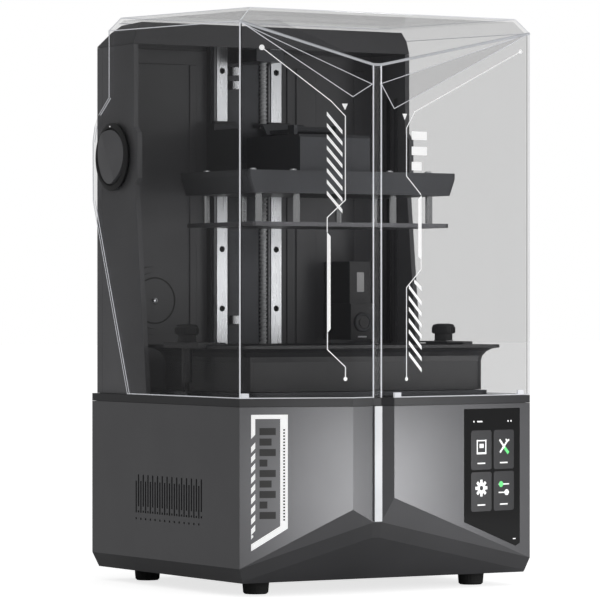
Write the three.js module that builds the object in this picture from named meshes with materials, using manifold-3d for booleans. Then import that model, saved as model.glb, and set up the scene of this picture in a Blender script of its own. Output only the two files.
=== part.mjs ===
// A desktop resin 3D printer: a prow-fronted base with the light engine, a rear housing with the lifting
// axis, a tilting resin vat, a build platform on an arm, and a clear hood that swings up and back.
// Millimetres. X runs to the right, the prow points to -Y, Z is up. Heights in this file are measured from
// a level just above the ground; at the end the whole printer is raised so that its feet stand on Z = 0.
import * as THREE from "three";
import { mergeVertices } from "three/addons/utils/BufferGeometryUtils.js";
import Module from "manifold-3d";

const wasm = await Module();
wasm.setup();

// ---- driving dimensions ----
const WIDTH = 327.4; // across the flat sides
const DEPTH = 329.2; // ridges of the prow to the back of the rear housing
const HEIGHT = 555;
const FOOT_HEIGHT = 9;
const GROUND = -4; // the feet reach down to here
const BASE_TOP = 174; // upper edge of the base casing
const DECK_TOP = 181.7; // upper face of the dark deck between base and hood
const WALL = 3; // moulded walls
const GAP = 0.3; // clearance between touching pieces
const HALF = WIDTH / 2;
const FRONT = -DEPTH / 2;
const REAR = DEPTH / 2;
const PROW = 35; // how far the ridges stand ahead of the front corners
const CORNER_Y = FRONT + PROW;
const GROOVE_DEPTH = 8; // channel between the two ridges
const RIDGE_LEFT_X = -60.8;
const RIDGE_RIGHT_X = -14.9;
const GROOVE_LEFT_X = -33.1;
const GROOVE_RIGHT_X = -24.4;
const GROOVE_Y = FRONT + GROOVE_DEPTH;
const GROOVE_MIDDLE_X = (GROOVE_LEFT_X + GROOVE_RIGHT_X) / 2;
const EDGE_STEP = 4; // the straight edge at each end stands this far behind the corners

// hood and its hinge
const HOOD_BOTTOM = DECK_TOP + GAP;
const HINGE_Y = 121.6;
const HINGE_Z = 416;
const HINGE_BOSS_RADIUS = 20;
const HINGE_CAP_RADIUS = 33.6;
const HINGE_CAP_DEPTH = 6;

// rear housing
const HOUSING_X = 160.3; // its flat sides, just inside the hood
const HOUSING_REAR = 160.3;
const ARM_THICKNESS = 5;
const BACK_WALL_Y = 150; // front face of the back wall
const HOUSING_TOP = 526; // where the sides end and the cap begins
const ROOM_TOP = 531.5; // underside of the cap, over the rails

// lifting axis
const RAIL_X = 31.7;
const RAIL_WIDTH = 12;
const RAIL_FACE_Y = 134;
const RAIL_DEPTH = 8;
const RAIL_BOTTOM = 184;
const RAIL_TOP = 531;
const SCREW_RADIUS = 4;
const SCREW_Y = 106;

// build platform as it stands, part way up
const PLATE_WIDTH = 225;
const PLATE_DEPTH = 130;
const PLATE_BOTTOM = 345.5;
const PLATE_THICKNESS = 4;
const BLOCK_BOTTOM = 377;
const BLOCK_TOP = 399;

// resin vat
const VAT_BOTTOM = 187;
const VAT_RIM = 231;
const VAT_PAD_TOP = 233.5; // raised pads under the thumb screws
const VAT_Y = -10; // centre of the vat, front to back
const VAT_WIDTH = 270;
const VAT_DEPTH = 165;
const VAT_CORNER_RADIUS = 8;
const VAT_FLARE = 13; // how far the rim leans out on each side
const KNOB_X = 147.5;
const FILM_WIDTH = 234; // opening over the film: the build plate comes down into it
const FILM_DEPTH = 139;

// screen under the vat
const PANEL_WIDTH = 240;
const PANEL_DEPTH = 150;

// ---- solids ----
function solidOf(geometry) {
  geometry.deleteAttribute("normal");
  geometry.deleteAttribute("uv");
  const merged = mergeVertices(geometry, 1e-4);
  return new wasm.Manifold(
    new wasm.Mesh({
      numProp: 3,
      vertProperties: merged.attributes.position.array,
      triVerts: new Uint32Array(merged.index.array),
    }),
  );
}

function geometryOf(solid) {
  const mesh = solid.getMesh();
  const geometry = new THREE.BufferGeometry();
  geometry.setAttribute("position", new THREE.BufferAttribute(mesh.vertProperties, 3));
  geometry.setIndex(new THREE.BufferAttribute(mesh.triVerts, 1));
  geometry.computeVertexNormals();
  return geometry;
}

const join = (first, ...others) => others.reduce((whole, piece) => whole.add(piece), first);
const cut = (whole, ...tools) => tools.reduce((left, tool) => left.subtract(tool), whole);

function block([x0, x1], [y0, y1], [z0, z1]) {
  const geometry = new THREE.BoxGeometry(x1 - x0, y1 - y0, z1 - z0);
  geometry.translate((x0 + x1) / 2, (y0 + y1) / 2, (z0 + z1) / 2);
  return solidOf(geometry);
}

// A block centred on (x, y), standing between two heights.
function pillar(x, y, width, depth, z0, z1) {
  return block([x - width / 2, x + width / 2], [y - depth / 2, y + depth / 2], [z0, z1]);
}

const outlineShape = (points) => new THREE.Shape(points.map(([x, y]) => new THREE.Vector2(x, y)));

function extrude(points, depth) {
  return new THREE.ExtrudeGeometry(outlineShape(points), { depth, bevelEnabled: false });
}

// Outlines seen from above and from the left side, as (y, z).
function planPrism(points, z0, z1) {
  return solidOf(extrude(points, z1 - z0).translate(0, 0, z0));
}

function sidePrism(points, x0, x1) {
  const turn = new THREE.Matrix4().makeBasis(
    new THREE.Vector3(0, 1, 0),
    new THREE.Vector3(0, 0, 1),
    new THREE.Vector3(1, 0, 0),
  );
  return solidOf(extrude(points, x1 - x0).applyMatrix4(turn).translate(x0, 0, 0));
}

// Round solids: a profile of [radius, height] pairs turned about an upright axis through (x, y).
function turned(profile, x, y, sides = 24) {
  const points = profile.map(([radius, height]) => new THREE.Vector2(radius, height));
  const geometry = new THREE.LatheGeometry(points, sides);
  return solidOf(geometry.rotateX(Math.PI / 2).translate(x, y, 0));
}

function post(radius, x, y, z0, z1, sides = 24) {
  return turned([[0, z0], [radius, z0], [radius, z1], [0, z1]], x, y, sides);
}

// The same along X or along -Y, for pins through the sides and for round things on the back wall.
function crossPost(radius, y, z, x0, x1, sides = 32) {
  const geometry = new THREE.CylinderGeometry(radius, radius, x1 - x0, sides);
  return solidOf(geometry.rotateZ(Math.PI / 2).translate((x0 + x1) / 2, y, z));
}

function depthPost(radius, x, z, y0, y1, sides = 24) {
  const geometry = new THREE.CylinderGeometry(radius, radius, y1 - y0, sides);
  return solidOf(geometry.translate(x, (y0 + y1) / 2, z));
}

function roundedOutline(width, depth, radius, centreY = 0, steps = 4) {
  const centres = [[1, 1], [-1, 1], [-1, -1], [1, -1]];
  return centres.flatMap(([sx, sy], quarter) =>
    Array.from({ length: steps + 1 }, (_, i) => {
      const angle = ((quarter + i / steps) * Math.PI) / 2;
      return [
        sx * (width / 2 - radius) + radius * Math.cos(angle),
        centreY + sy * (depth / 2 - radius) + radius * Math.sin(angle),
      ];
    }),
  );
}

// A closed body through outlines of equal length, each at its own height, lowest first.
function loft(sections) {
  const count = sections[0].outline.length;
  const positions = sections.flatMap(({ z, outline }) => outline.flatMap(([x, y]) => [x, y, z]));
  const contour = sections[0].outline.map(([x, y]) => new THREE.Vector2(x, y));
  const caps = THREE.ShapeUtils.triangulateShape(contour, []);
  const last = (sections.length - 1) * count;
  const indices = caps.flatMap(([a, b, c]) => [a, c, b, last + a, last + b, last + c]);
  for (let ring = 0; ring < last; ring += count) {
    for (let i = 0; i < count; i += 1) {
      const next = (i + 1) % count;
      const [a, b] = [ring + i, ring + next];
      indices.push(a, b, b + count, a, b + count, a + count);
    }
  }
  const geometry = new THREE.BufferGeometry();
  geometry.setAttribute("position", new THREE.Float32BufferAttribute(positions, 3));
  geometry.setIndex(indices);
  return solidOf(geometry);
}

// A large block that fills one side of the plane through three points, moved off it by a distance.
function halfSpace(p, q, r, moved = 0) {
  const [a, b, c] = [p, q, r].map((point) => new THREE.Vector3(...point));
  const along = b.clone().sub(a).normalize();
  const normal = along.clone().cross(c.clone().sub(a)).normalize();
  const across = normal.clone().cross(along);
  const size = 4 * HEIGHT;
  const centre = a.addScaledVector(normal, size / 2 + moved);
  const place = new THREE.Matrix4().makeBasis(along, across, normal).setPosition(centre);
  return solidOf(new THREE.BoxGeometry(size, size, size).applyMatrix4(place));
}

// An outline with every edge moved inwards.
function inset(points, distance) {
  const edges = points.map(([x, y], i) => {
    const [nextX, nextY] = points[(i + 1) % points.length];
    const length = Math.hypot(nextX - x, nextY - y);
    const [dx, dy] = [(nextX - x) / length, (nextY - y) / length];
    return { x: x - dy * distance, y: y + dx * distance, dx, dy };
  });
  return edges.map((edge, i) => {
    const before = edges[(i + edges.length - 1) % edges.length];
    const cross = before.dx * edge.dy - before.dy * edge.dx;
    const along = ((edge.x - before.x) * edge.dy - (edge.y - before.y) * edge.dx) / cross;
    return [before.x + before.dx * along, before.y + before.dy * along];
  });
}

// ---- the prow-fronted body that base, deck and hood share ----
// Outlines run anticlockwise seen from above.
const ridgedOutline = (rear) => [
  [-HALF, CORNER_Y],
  [RIDGE_LEFT_X, FRONT],
  [GROOVE_LEFT_X, GROOVE_Y],
  [GROOVE_RIGHT_X, GROOVE_Y],
  [RIDGE_RIGHT_X, FRONT],
  [HALF, CORNER_Y],
  [HALF, rear],
  [-HALF, rear],
];
const plainOutline = (rear) => ridgedOutline(rear).filter((_, i) => i !== 1 && i !== 4);

// At its free end, below on the base and above on the hood, the front face folds back: thin facets
// beside the ridges, bands beside the corners, and one flat face to a straight edge.
// The side of each plane that is cut away lies beyond the end, so the hood's planes are turned over.
function frontFolds(end, thickness) {
  const turn = end.up ? (p, q, r) => [p, r, q] : (p, q, r) => [p, q, r];
  const plane = (...points) => halfSpace(...turn(...points), thickness ? -thickness : 0);
  const both = (x, y, z) => [[-x, y, z], [x, y, z]];
  const [cornerLeft, cornerRight] = both(HALF, CORNER_Y, end.corner);
  const [edgeLeft, edgeRight] = both(HALF - end.edgeInset, CORNER_Y + EDGE_STEP, end.edge);
  const grooveLeft = [GROOVE_LEFT_X, GROOVE_Y, end.groove];
  const grooveRight = [GROOVE_RIGHT_X, GROOVE_Y, end.groove];
  const bandLeft = [GROOVE_LEFT_X, GROOVE_Y + end.bandStep, end.band];
  const bandRight = [GROOVE_RIGHT_X, GROOVE_Y + end.bandStep, end.band];
  const foldedBands = [
    () => plane(cornerLeft, bandLeft, grooveLeft),
    () => plane(grooveLeft, bandRight, grooveRight),
    () => plane(bandRight, cornerRight, grooveRight),
  ];
  const cornerBands = [
    () => plane(cornerLeft, edgeLeft, bandLeft),
    () => plane(cornerRight, bandRight, edgeRight),
  ];
  return {
    thinLeft: plane(cornerLeft, grooveLeft, [RIDGE_LEFT_X, FRONT, end.ridgeLeft]),
    thinRight: plane(grooveRight, cornerRight, [RIDGE_RIGHT_X, FRONT, end.ridgeRight]),
    bands: [
      plane(edgeLeft, edgeRight, bandLeft),
      ...(end.bandStep ? foldedBands : cornerBands).map((make) => make()),
    ],
  };
}

function prowBody(end, z0, z1, rear, thickness = 0) {
  const folds = frontFolds(end, thickness);
  const far = 2 * HEIGHT;
  const leftSide = block([-far, GROOVE_MIDDLE_X], [-far, far], [-far, far]);
  const rightSide = block([GROOVE_MIDDLE_X, far], [-far, far], [-far, far]);
  const plain = planPrism(inset(plainOutline(rear), thickness), z0, z1);
  const ridges = cut(
    planPrism(inset(ridgedOutline(rear), thickness), z0, z1),
    plain,
    folds.thinLeft.intersect(leftSide),
    folds.thinRight.intersect(rightSide),
  );
  return join(cut(plain, ...folds.bands), ridges);
}

const BASE_END = {
  up: false,
  corner: 23,
  edge: FOOT_HEIGHT,
  edgeInset: 0,
  band: 49.5,
  bandStep: 4,
  groove: 64.3,
  ridgeLeft: 77.4,
  ridgeRight: 87.4,
};
const HOOD_END = {
  up: true,
  corner: 535,
  edge: 548.6,
  edgeInset: 14,
  band: 497,
  bandStep: 0,
  groove: 479,
  ridgeLeft: 465.3,
  ridgeRight: 455.3,
};

// ---- the exported tree ----
const printer = new THREE.Group();
printer.position.z = -GROUND;

function addGroup(parent = printer) {
  const group = new THREE.Group();
  parent.add(group);
  return group;
}

function finish(color, roughness, metalness) {
  return new THREE.MeshStandardMaterial({ color, roughness, metalness });
}

function addPart(group, name, solid, material, position = [0, 0, 0]) {
  const mesh = new THREE.Mesh(geometryOf(solid), material);
  mesh.name = name;
  mesh.position.set(...position);
  group.add(mesh);
}

const metallicGrey = finish(0x6c6d70, 0.38, 0.6);
const darkPlastic = finish(0x2f3033, 0.5, 0.1);
const blackPlastic = finish(0x17181a, 0.45, 0.05);
const paleTrim = finish(0xcfd1d4, 0.35, 0.5);
const rubber = finish(0x1b1b1c, 0.9, 0);
const steel = finish(0xb9bcc0, 0.3, 0.95);
const darkAluminium = finish(0x46484c, 0.45, 0.8);
const circuitGreen = finish(0x1f4a33, 0.6, 0.1);
const glass = finish(0x0b0c0e, 0.06, 0);
const smokedClear = finish(0x8b8f96, 0.08, 0);
const amberFilm = finish(0xcfd4d8, 0.1, 0);

// ---- base ----
const base = addGroup();
const FLOOR_TOP = FOOT_HEIGHT + WALL;
const CHAMFER_IN = 5; // how far the lower edge stands inside the sides
const SIDE_SLOTS = 14;
const SLOT_PITCH = 9.6;
const SLOT_WIDTH = 2.4;
const SLOT_LENGTH = 31;
const SLOT_TOP = 104;
const SLOT_FIRST_Y = -57;

// The right-hand facet of the prow, with its own axes: along it, up, and out of it.
function facetMatrix(fromX) {
  const run = new THREE.Vector3(HALF - RIDGE_RIGHT_X, PROW, 0).normalize();
  const out = new THREE.Vector3().crossVectors(run, new THREE.Vector3(0, 0, 1));
  const y = FRONT + ((fromX - RIDGE_RIGHT_X) * PROW) / (HALF - RIDGE_RIGHT_X);
  return new THREE.Matrix4().makeBasis(run, new THREE.Vector3(0, 0, 1), out).setPosition(fromX, y, 0);
}

const SCREEN_LEFT_X = 75.5;
const SCREEN_WIDTH = 76;
const SCREEN_OUTLINE = [
  [0, 60.7],
  [SCREEN_WIDTH - 6, 35.3],
  [SCREEN_WIDTH, 38],
  [SCREEN_WIDTH, 169.5],
  [0, 169.5],
];

function onFacet(outline, fromDepth, toDepth) {
  const geometry = extrude(outline, toDepth - fromDepth).translate(0, 0, fromDepth);
  return solidOf(geometry.applyMatrix4(facetMatrix(SCREEN_LEFT_X)));
}

// The side slots stand in two staggered rows over two rows of short ones.
function sideSlots(side) {
  const x = side * HALF;
  const rows = [
    { top: SLOT_TOP, length: SLOT_LENGTH, shift: 0 },
    { top: SLOT_TOP - 6.3, length: SLOT_LENGTH, shift: SLOT_PITCH / 2 },
    { top: 69, length: 2, shift: 0 },
    { top: 62, length: 2, shift: SLOT_PITCH / 2 },
  ];
  return rows.flatMap(({ top, length, shift }) =>
    Array.from({ length: SIDE_SLOTS }, (_, i) => {
      const y = SLOT_FIRST_Y + i * SLOT_PITCH + shift;
      return pillar(x, y, 4 * WALL, SLOT_WIDTH, top - length, top);
    }),
  );
}

const FAN_X = -60;
const FAN_Z = 85;
const FAN_SIZE = 80;
const FAN_FRONT_Y = 132;
const FAN_BACK_Y = 157;
const INLET_X = 100;
const INLET_Z = 60;
const INLET_WIDTH = 48;
const INLET_HEIGHT = 28;
const SWITCH_X = 140;
const USB_X = 50;
const SIDE_ROOM_BOTTOM = 30; // above the chamfered edges, where the side walls thin down
const PROW_ROOM_BOTTOM = 90; // above the folds of the prow

function rearOpenings() {
  const through = [REAR - 4 * WALL, REAR + WALL];
  const grille = Array.from({ length: 9 }, (_, i) => {
    const offset = (i - 4) * 8;
    const reach = Math.sqrt(38 ** 2 - offset ** 2);
    return block([FAN_X - reach, FAN_X + reach], through, [FAN_Z + offset - 2, FAN_Z + offset + 2]);
  });
  const socket = (x, width, height) =>
    block([x - width / 2 - GAP, x + width / 2 + GAP], through, [
      INLET_Z - height / 2 - GAP,
      INLET_Z + height / 2 + GAP,
    ]);
  return [
    ...grille,
    socket(INLET_X, INLET_WIDTH, INLET_HEIGHT),
    socket(SWITCH_X, 14, 20),
    socket(USB_X, 14, 8),
  ];
}

// Chamfers along the lower edges of the sides and of the back.
function lowerChamfers() {
  const low = FOOT_HEIGHT;
  const high = BASE_END.corner;
  const inner = HALF - CHAMFER_IN;
  return [
    halfSpace([-HALF, 0, high], [-HALF, 100, high], [-inner, 0, low]),
    halfSpace([HALF, 0, high], [inner, 0, low], [HALF, 100, high]),
    halfSpace([0, REAR, high], [0, REAR - CHAMFER_IN, low], [-100, REAR, high]),
  ];
}

// The plan without its prow.
const squareOutline = [[-HALF, CORNER_Y], [HALF, CORNER_Y], [HALF, REAR], [-HALF, REAR]];

function baseShell() {
  const outer = cut(prowBody(BASE_END, FOOT_HEIGHT, BASE_TOP, REAR), ...lowerChamfers());
  const upperRoom = planPrism(inset(ridgedOutline(REAR), WALL), PROW_ROOM_BOTTOM, BASE_TOP + 1);
  const lowerRoom = planPrism(inset(squareOutline, 2 * CHAMFER_IN), FOOT_HEIGHT - 1, PROW_ROOM_BOTTOM + 1);
  const middleRoom = planPrism(inset(squareOutline, WALL), SIDE_ROOM_BOTTOM, PROW_ROOM_BOTTOM + 1);
  const screenHole = onFacet(SCREEN_OUTLINE, -5 * WALL, WALL);
  return cut(
    outer,
    upperRoom,
    lowerRoom,
    middleRoom,
    screenHole,
    ...sideSlots(-1),
    ...sideSlots(1),
    ...rearOpenings(),
  );
}
addPart(base, "base_shell", baseShell(), metallicGrey);

const floorOutline = inset(squareOutline, 2 * CHAMFER_IN + GAP);
addPart(base, "base_floor", planPrism(floorOutline, FOOT_HEIGHT + GAP, FLOOR_TOP), darkAluminium);

const FOOT_X = 122;
const FOOT_PLACES = {
  foot_front_left: [-FOOT_X, -88],
  foot_front_right: [FOOT_X, -88],
  foot_rear_left: [-FOOT_X, 126],
  foot_rear_right: [FOOT_X, 126],
};
for (const [name, [x, y]] of Object.entries(FOOT_PLACES)) {
  const profile = [
    [0, GROUND],
    [10.5, GROUND],
    [12, GROUND + 1.5],
    [13, FOOT_HEIGHT],
    [0, FOOT_HEIGHT],
  ];
  addPart(base, name, turned(profile, 0, 0), rubber, [x, y, 0]);
}

const deckOutline = ridgedOutline(REAR);
const deck = cut(
  planPrism(deckOutline, BASE_TOP + GAP, DECK_TOP),
  pillar(0, 0, PANEL_WIDTH + 2 * GAP, PANEL_DEPTH + 2 * GAP, BASE_TOP, DECK_TOP + 1),
  post(10, 0, SCREW_Y, BASE_TOP, DECK_TOP + 1),
);
addPart(base, "deck", deck, darkPlastic);
addPart(
  base,
  "front_strip",
  block([GROOVE_LEFT_X + GAP, GROOVE_RIGHT_X - GAP], [GROOVE_Y - 2, GROOVE_Y - GAP], [65, BASE_TOP]),
  paleTrim,
);
addPart(base, "touch_screen", onFacet(inset(SCREEN_OUTLINE, GAP), -2.6, 0.3), glass);
addPart(
  base,
  "display_module",
  onFacet([[3, 95], [SCREEN_WIDTH - 3, 95], [SCREEN_WIDTH - 3, 165], [3, 165]], -11, -2.9),
  darkAluminium,
);

// ---- light engine inside the base ----
const lightEngine = addGroup();
const centredOutline = (width, depth) => roundedOutline(width, depth, 4, 0, 2);
addPart(
  lightEngine,
  "lcd_mask_panel",
  pillar(0, 0, PANEL_WIDTH, PANEL_DEPTH, BASE_TOP + GAP, DECK_TOP),
  glass,
);
const panelFrame = cut(
  pillar(0, 0, 256, 166, 168, BASE_TOP),
  pillar(0, 0, 222, 126, 160, BASE_TOP + 1),
);
addPart(lightEngine, "panel_frame", panelFrame, darkAluminium);

function taperedBox(grow) {
  return loft([
    { z: 45 - (grow ? 1 : 0), outline: centredOutline(150 - grow, 96 - grow) },
    { z: 167.7 + (grow ? 1 : 0), outline: centredOutline(234 - grow, 138 - grow) },
  ]);
}
addPart(lightEngine, "light_shroud", cut(taperedBox(0), taperedBox(5)), blackPlastic);
addPart(lightEngine, "collimating_lens", pillar(0, 0, 210, 116, 158, 161), smokedClear);

const lamps = [-44, -22, 0, 22, 44].flatMap((x) => [-24, 0, 24].map((y) => post(6, x, y, 41, 45, 12)));
addPart(lightEngine, "led_array", join(pillar(0, 0, 130, 80, 39.3, 42), ...lamps), circuitGreen);

const fins = Array.from({ length: 12 }, (_, i) => pillar(-66 + i * 12, 0, 2, 84, FLOOR_TOP + GAP, 34));
addPart(lightEngine, "heat_sink", join(pillar(0, 0, 136, 84, 33, 39), ...fins), darkAluminium);

// ---- fan, supply, boards and sockets ----
const electrics = addGroup();
const fanMiddle = (FAN_FRONT_Y + FAN_BACK_Y) / 2;
const fanFrame = cut(
  block(
    [FAN_X - FAN_SIZE / 2, FAN_X + FAN_SIZE / 2],
    [FAN_FRONT_Y, FAN_BACK_Y],
    [FAN_Z - FAN_SIZE / 2, FAN_Z + FAN_SIZE / 2],
  ),
  depthPost(37, FAN_X, FAN_Z, FAN_FRONT_Y - 1, FAN_BACK_Y - 3, 40),
  cut(
    depthPost(37, FAN_X, FAN_Z, FAN_BACK_Y - 4, FAN_BACK_Y + 1, 40),
    depthPost(14, FAN_X, FAN_Z, FAN_BACK_Y - 5, FAN_BACK_Y + 2),
    block([FAN_X - 38, FAN_X + 38], [FAN_BACK_Y - 3, FAN_BACK_Y], [FAN_Z - 2, FAN_Z + 2]),
  ),
);
addPart(electrics, "cooling_fan_frame", fanFrame, blackPlastic);

function fanRotor() {
  const blades = Array.from({ length: 7 }, (_, i) => {
    const geometry = new THREE.BoxGeometry(24, 2, 16).rotateX(0.7).translate(23, 0, 0);
    const turn = new THREE.Matrix4().makeRotationY((i * 2 * Math.PI) / 7);
    const swing = new THREE.Matrix4().makeRotationX(Math.PI / 2);
    return solidOf(geometry.applyMatrix4(swing).applyMatrix4(turn));
  });
  return join(depthPost(13.5, 0, 0, -9, 8), ...blades);
}
addPart(electrics, "cooling_fan_rotor", fanRotor(), blackPlastic, [FAN_X, fanMiddle - 2, FAN_Z]);

addPart(electrics, "power_supply", pillar(125, 40, 46, 120, FLOOR_TOP + GAP, 52), steel);
const chips = [[-132, 20], [-118, 60], [-132, -20]].map(([x, y]) => pillar(x, y, 16, 16, 21, 26));
addPart(
  electrics,
  "mainboard",
  join(
    pillar(-125, 20, 44, 130, 20, 22),
    ...chips,
    ...[-36, 76].map((y) => post(3, -125, y, FLOOR_TOP + GAP, 21, 12)),
  ),
  circuitGreen,
);
const inlet = cut(
  block(
    [INLET_X - INLET_WIDTH / 2, INLET_X + INLET_WIDTH / 2],
    [REAR - 24, REAR - 0.5],
    [INLET_Z - INLET_HEIGHT / 2, INLET_Z + INLET_HEIGHT / 2],
  ),
  block([INLET_X - 12, INLET_X + 12], [REAR - 18, REAR + 1], [INLET_Z - 8, INLET_Z + 8]),
);
addPart(electrics, "power_inlet", inlet, blackPlastic);
const rockerProfile = [[-8, -9.6], [-0.5, -9.6], [-1.8, 0], [0.4, 9.6], [-8, 9.6]];
addPart(
  electrics,
  "power_switch",
  sidePrism(rockerProfile, -6.6, 6.6),
  blackPlastic,
  [SWITCH_X, REAR, INLET_Z],
);
const usbPort = cut(
  block([USB_X - 7, USB_X + 7], [REAR - 16, REAR - 0.5], [INLET_Z - 4, INLET_Z + 4]),
  block([USB_X - 6, USB_X + 6], [REAR - 13, REAR + 1], [INLET_Z - 2.6, INLET_Z + 2.6]),
);
addPart(electrics, "usb_port", usbPort, steel);

// ---- rear housing ----
const housing = addGroup();
const HOUSING_BOTTOM = DECK_TOP + GAP;
const ARM_FRONT_Y = 84;
const ARM_OUTLINE = [
  [58, HOUSING_BOTTOM],
  [BACK_WALL_Y - GAP, HOUSING_BOTTOM],
  [BACK_WALL_Y - GAP, HOUSING_TOP],
  [ARM_FRONT_Y, HOUSING_TOP],
  [ARM_FRONT_Y, 445],
  [ARM_FRONT_Y - 8, 438], // a shoulder round the hinge
  [ARM_FRONT_Y - 8, 394],
  [ARM_FRONT_Y - 3, 388],
];
for (const [name, side] of [["arm_left", -1], ["arm_right", 1]]) {
  const ends = [side * HOUSING_X, side * (HOUSING_X - ARM_THICKNESS)].sort((a, b) => a - b);
  addPart(housing, "housing_" + name, sidePrism(ARM_OUTLINE, ...ends), darkPlastic);
  const bossEnds = [side * (HOUSING_X + GAP), side * (HALF - GAP)].sort((a, b) => a - b);
  const boss = crossPost(HINGE_BOSS_RADIUS, HINGE_Y, HINGE_Z, ...bossEnds);
  addPart(housing, "hinge_boss_" + name.slice(4), boss, steel);
}
const RECESS_DEPTH = 2; // shallow field on the back of the housing
const recess = block([-110, 110], [HOUSING_REAR - RECESS_DEPTH, HOUSING_REAR + 1], [230, 480]);
const backSlab = block([-HOUSING_X, HOUSING_X], [BACK_WALL_Y, HOUSING_REAR], [HOUSING_BOTTOM, HOUSING_TOP]);
addPart(housing, "housing_back", cut(backSlab, recess), darkPlastic);

// The cap over the housing: its top follows the inside of the hood, and its front hangs over the rails.
function topCap() {
  const bottom = HOUSING_TOP + GAP;
  const side = [
    [ARM_FRONT_Y, bottom],
    [HOUSING_REAR, bottom],
    [HOUSING_REAR, bottom + 1],
    [144, 536],
    [124, 546.5],
    [ARM_FRONT_Y, 548],
  ];
  const front = [
    [-HOUSING_X, bottom],
    [HOUSING_X, bottom],
    [157, 539.5],
    [146, HEIGHT],
    [-146, HEIGHT],
    [-157, 539.5],
  ];
  const upright = new THREE.Matrix4().makeRotationX(Math.PI / 2);
  const crossSection = solidOf(extrude(front, DEPTH).applyMatrix4(upright).translate(0, REAR, 0));
  const roomSide = HOUSING_X - ARM_THICKNESS;
  const underside = block(
    [-roomSide, roomSide],
    [ARM_FRONT_Y + WALL, BACK_WALL_Y],
    [bottom - 1, ROOM_TOP],
  );
  return cut(sidePrism(side, -HALF, HALF).intersect(crossSection), underside);
}
addPart(housing, "housing_top_cap", topCap(), darkPlastic);

const FILTER_X = -105;
const FILTER_Z = 274;
const filterDisc = join(
  depthPost(34, FILTER_X, FILTER_Z, BACK_WALL_Y - 5, BACK_WALL_Y - GAP, 40),
  depthPost(28, FILTER_X, FILTER_Z, BACK_WALL_Y - 8, BACK_WALL_Y - 4, 40),
);
addPart(housing, "filter_cover", filterDisc, darkPlastic);

const CAMERA_X = 111;
const CAMERA_WIDTH = 27;
const CAMERA_FRONT_Y = 96;
const CAMERA_BOTTOM = 234;
const CAMERA_TOP = 271;
const LENS_Z = 252;
const LENS_RADIUS = 10;
const bracketRear = BACK_WALL_Y - GAP;
const cameraBody = cut(
  block(
    [CAMERA_X - CAMERA_WIDTH / 2, CAMERA_X + CAMERA_WIDTH / 2],
    [CAMERA_FRONT_Y, bracketRear],
    [CAMERA_BOTTOM, CAMERA_TOP],
  ),
  depthPost(LENS_RADIUS + GAP, CAMERA_X, LENS_Z, CAMERA_FRONT_Y - 2, CAMERA_FRONT_Y + 6),
);
addPart(housing, "camera_body", cameraBody, blackPlastic);
const cameraLens = join(
  depthPost(LENS_RADIUS, CAMERA_X, LENS_Z, CAMERA_FRONT_Y - 2, CAMERA_FRONT_Y + 5.7),
  depthPost(LENS_RADIUS / 2, CAMERA_X, LENS_Z, CAMERA_FRONT_Y - 3, CAMERA_FRONT_Y + 4),
);
addPart(housing, "camera_lens", cameraLens, glass);

// A lamp for the camera stands on top of it, behind a small window.
const LAMP_FRONT_Y = CAMERA_FRONT_Y + 4;
const LAMP_TOP = 314;
const lampWindow = (grow, y0, y1) =>
  block([CAMERA_X - 3.5 - grow, CAMERA_X + 5 + grow], [y0, y1], [283 - grow, 303 + grow]);
const lampHousing = cut(
  block(
    [CAMERA_X - CAMERA_WIDTH / 2 + 1, CAMERA_X + CAMERA_WIDTH / 2 - 1],
    [LAMP_FRONT_Y, bracketRear],
    [CAMERA_TOP + GAP, LAMP_TOP],
  ),
  lampWindow(GAP, LAMP_FRONT_Y - 1, LAMP_FRONT_Y + 4),
);
addPart(housing, "lamp_housing", lampHousing, blackPlastic);
addPart(housing, "chamber_lamp", lampWindow(0, LAMP_FRONT_Y + GAP, LAMP_FRONT_Y + 3.7), paleTrim);

// ---- lifting axis: column, rails, screw and motor ----
const axis = addGroup();
const COLUMN_FACE_Y = RAIL_FACE_Y + RAIL_DEPTH + GAP;
const COLUMN_HALF = 41;
const column = cut(
  block([-COLUMN_HALF, COLUMN_HALF], [COLUMN_FACE_Y, BACK_WALL_Y - GAP], [HOUSING_BOTTOM, ROOM_TOP - GAP]),
  block([-20, 20], [COLUMN_FACE_Y - 1, COLUMN_FACE_Y + 4], [200, 516]),
);
addPart(axis, "z_column", column, darkAluminium);

// Guide rail with its side grooves and countersunk screw holes.
function guideRail() {
  const half = RAIL_WIDTH / 2;
  const outline = [
    [-half, 0],
    [half, 0],
    [half, 2.5],
    [half - 1.5, 4],
    [half, 5.5],
    [half, RAIL_DEPTH],
    [-half, RAIL_DEPTH],
    [-half, 5.5],
    [1.5 - half, 4],
    [-half, 2.5],
  ];
  const holes = Array.from({ length: 6 }, (_, i) => depthPost(3.2, 0, RAIL_BOTTOM + 22 + i * 60, -1, 4, 12));
  return cut(planPrism(outline, RAIL_BOTTOM, RAIL_TOP - GAP), ...holes);
}
addPart(axis, "rail_left", guideRail(), steel, [-RAIL_X, RAIL_FACE_Y, 0]);
addPart(axis, "rail_right", guideRail(), steel, [RAIL_X, RAIL_FACE_Y, 0]);

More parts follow.
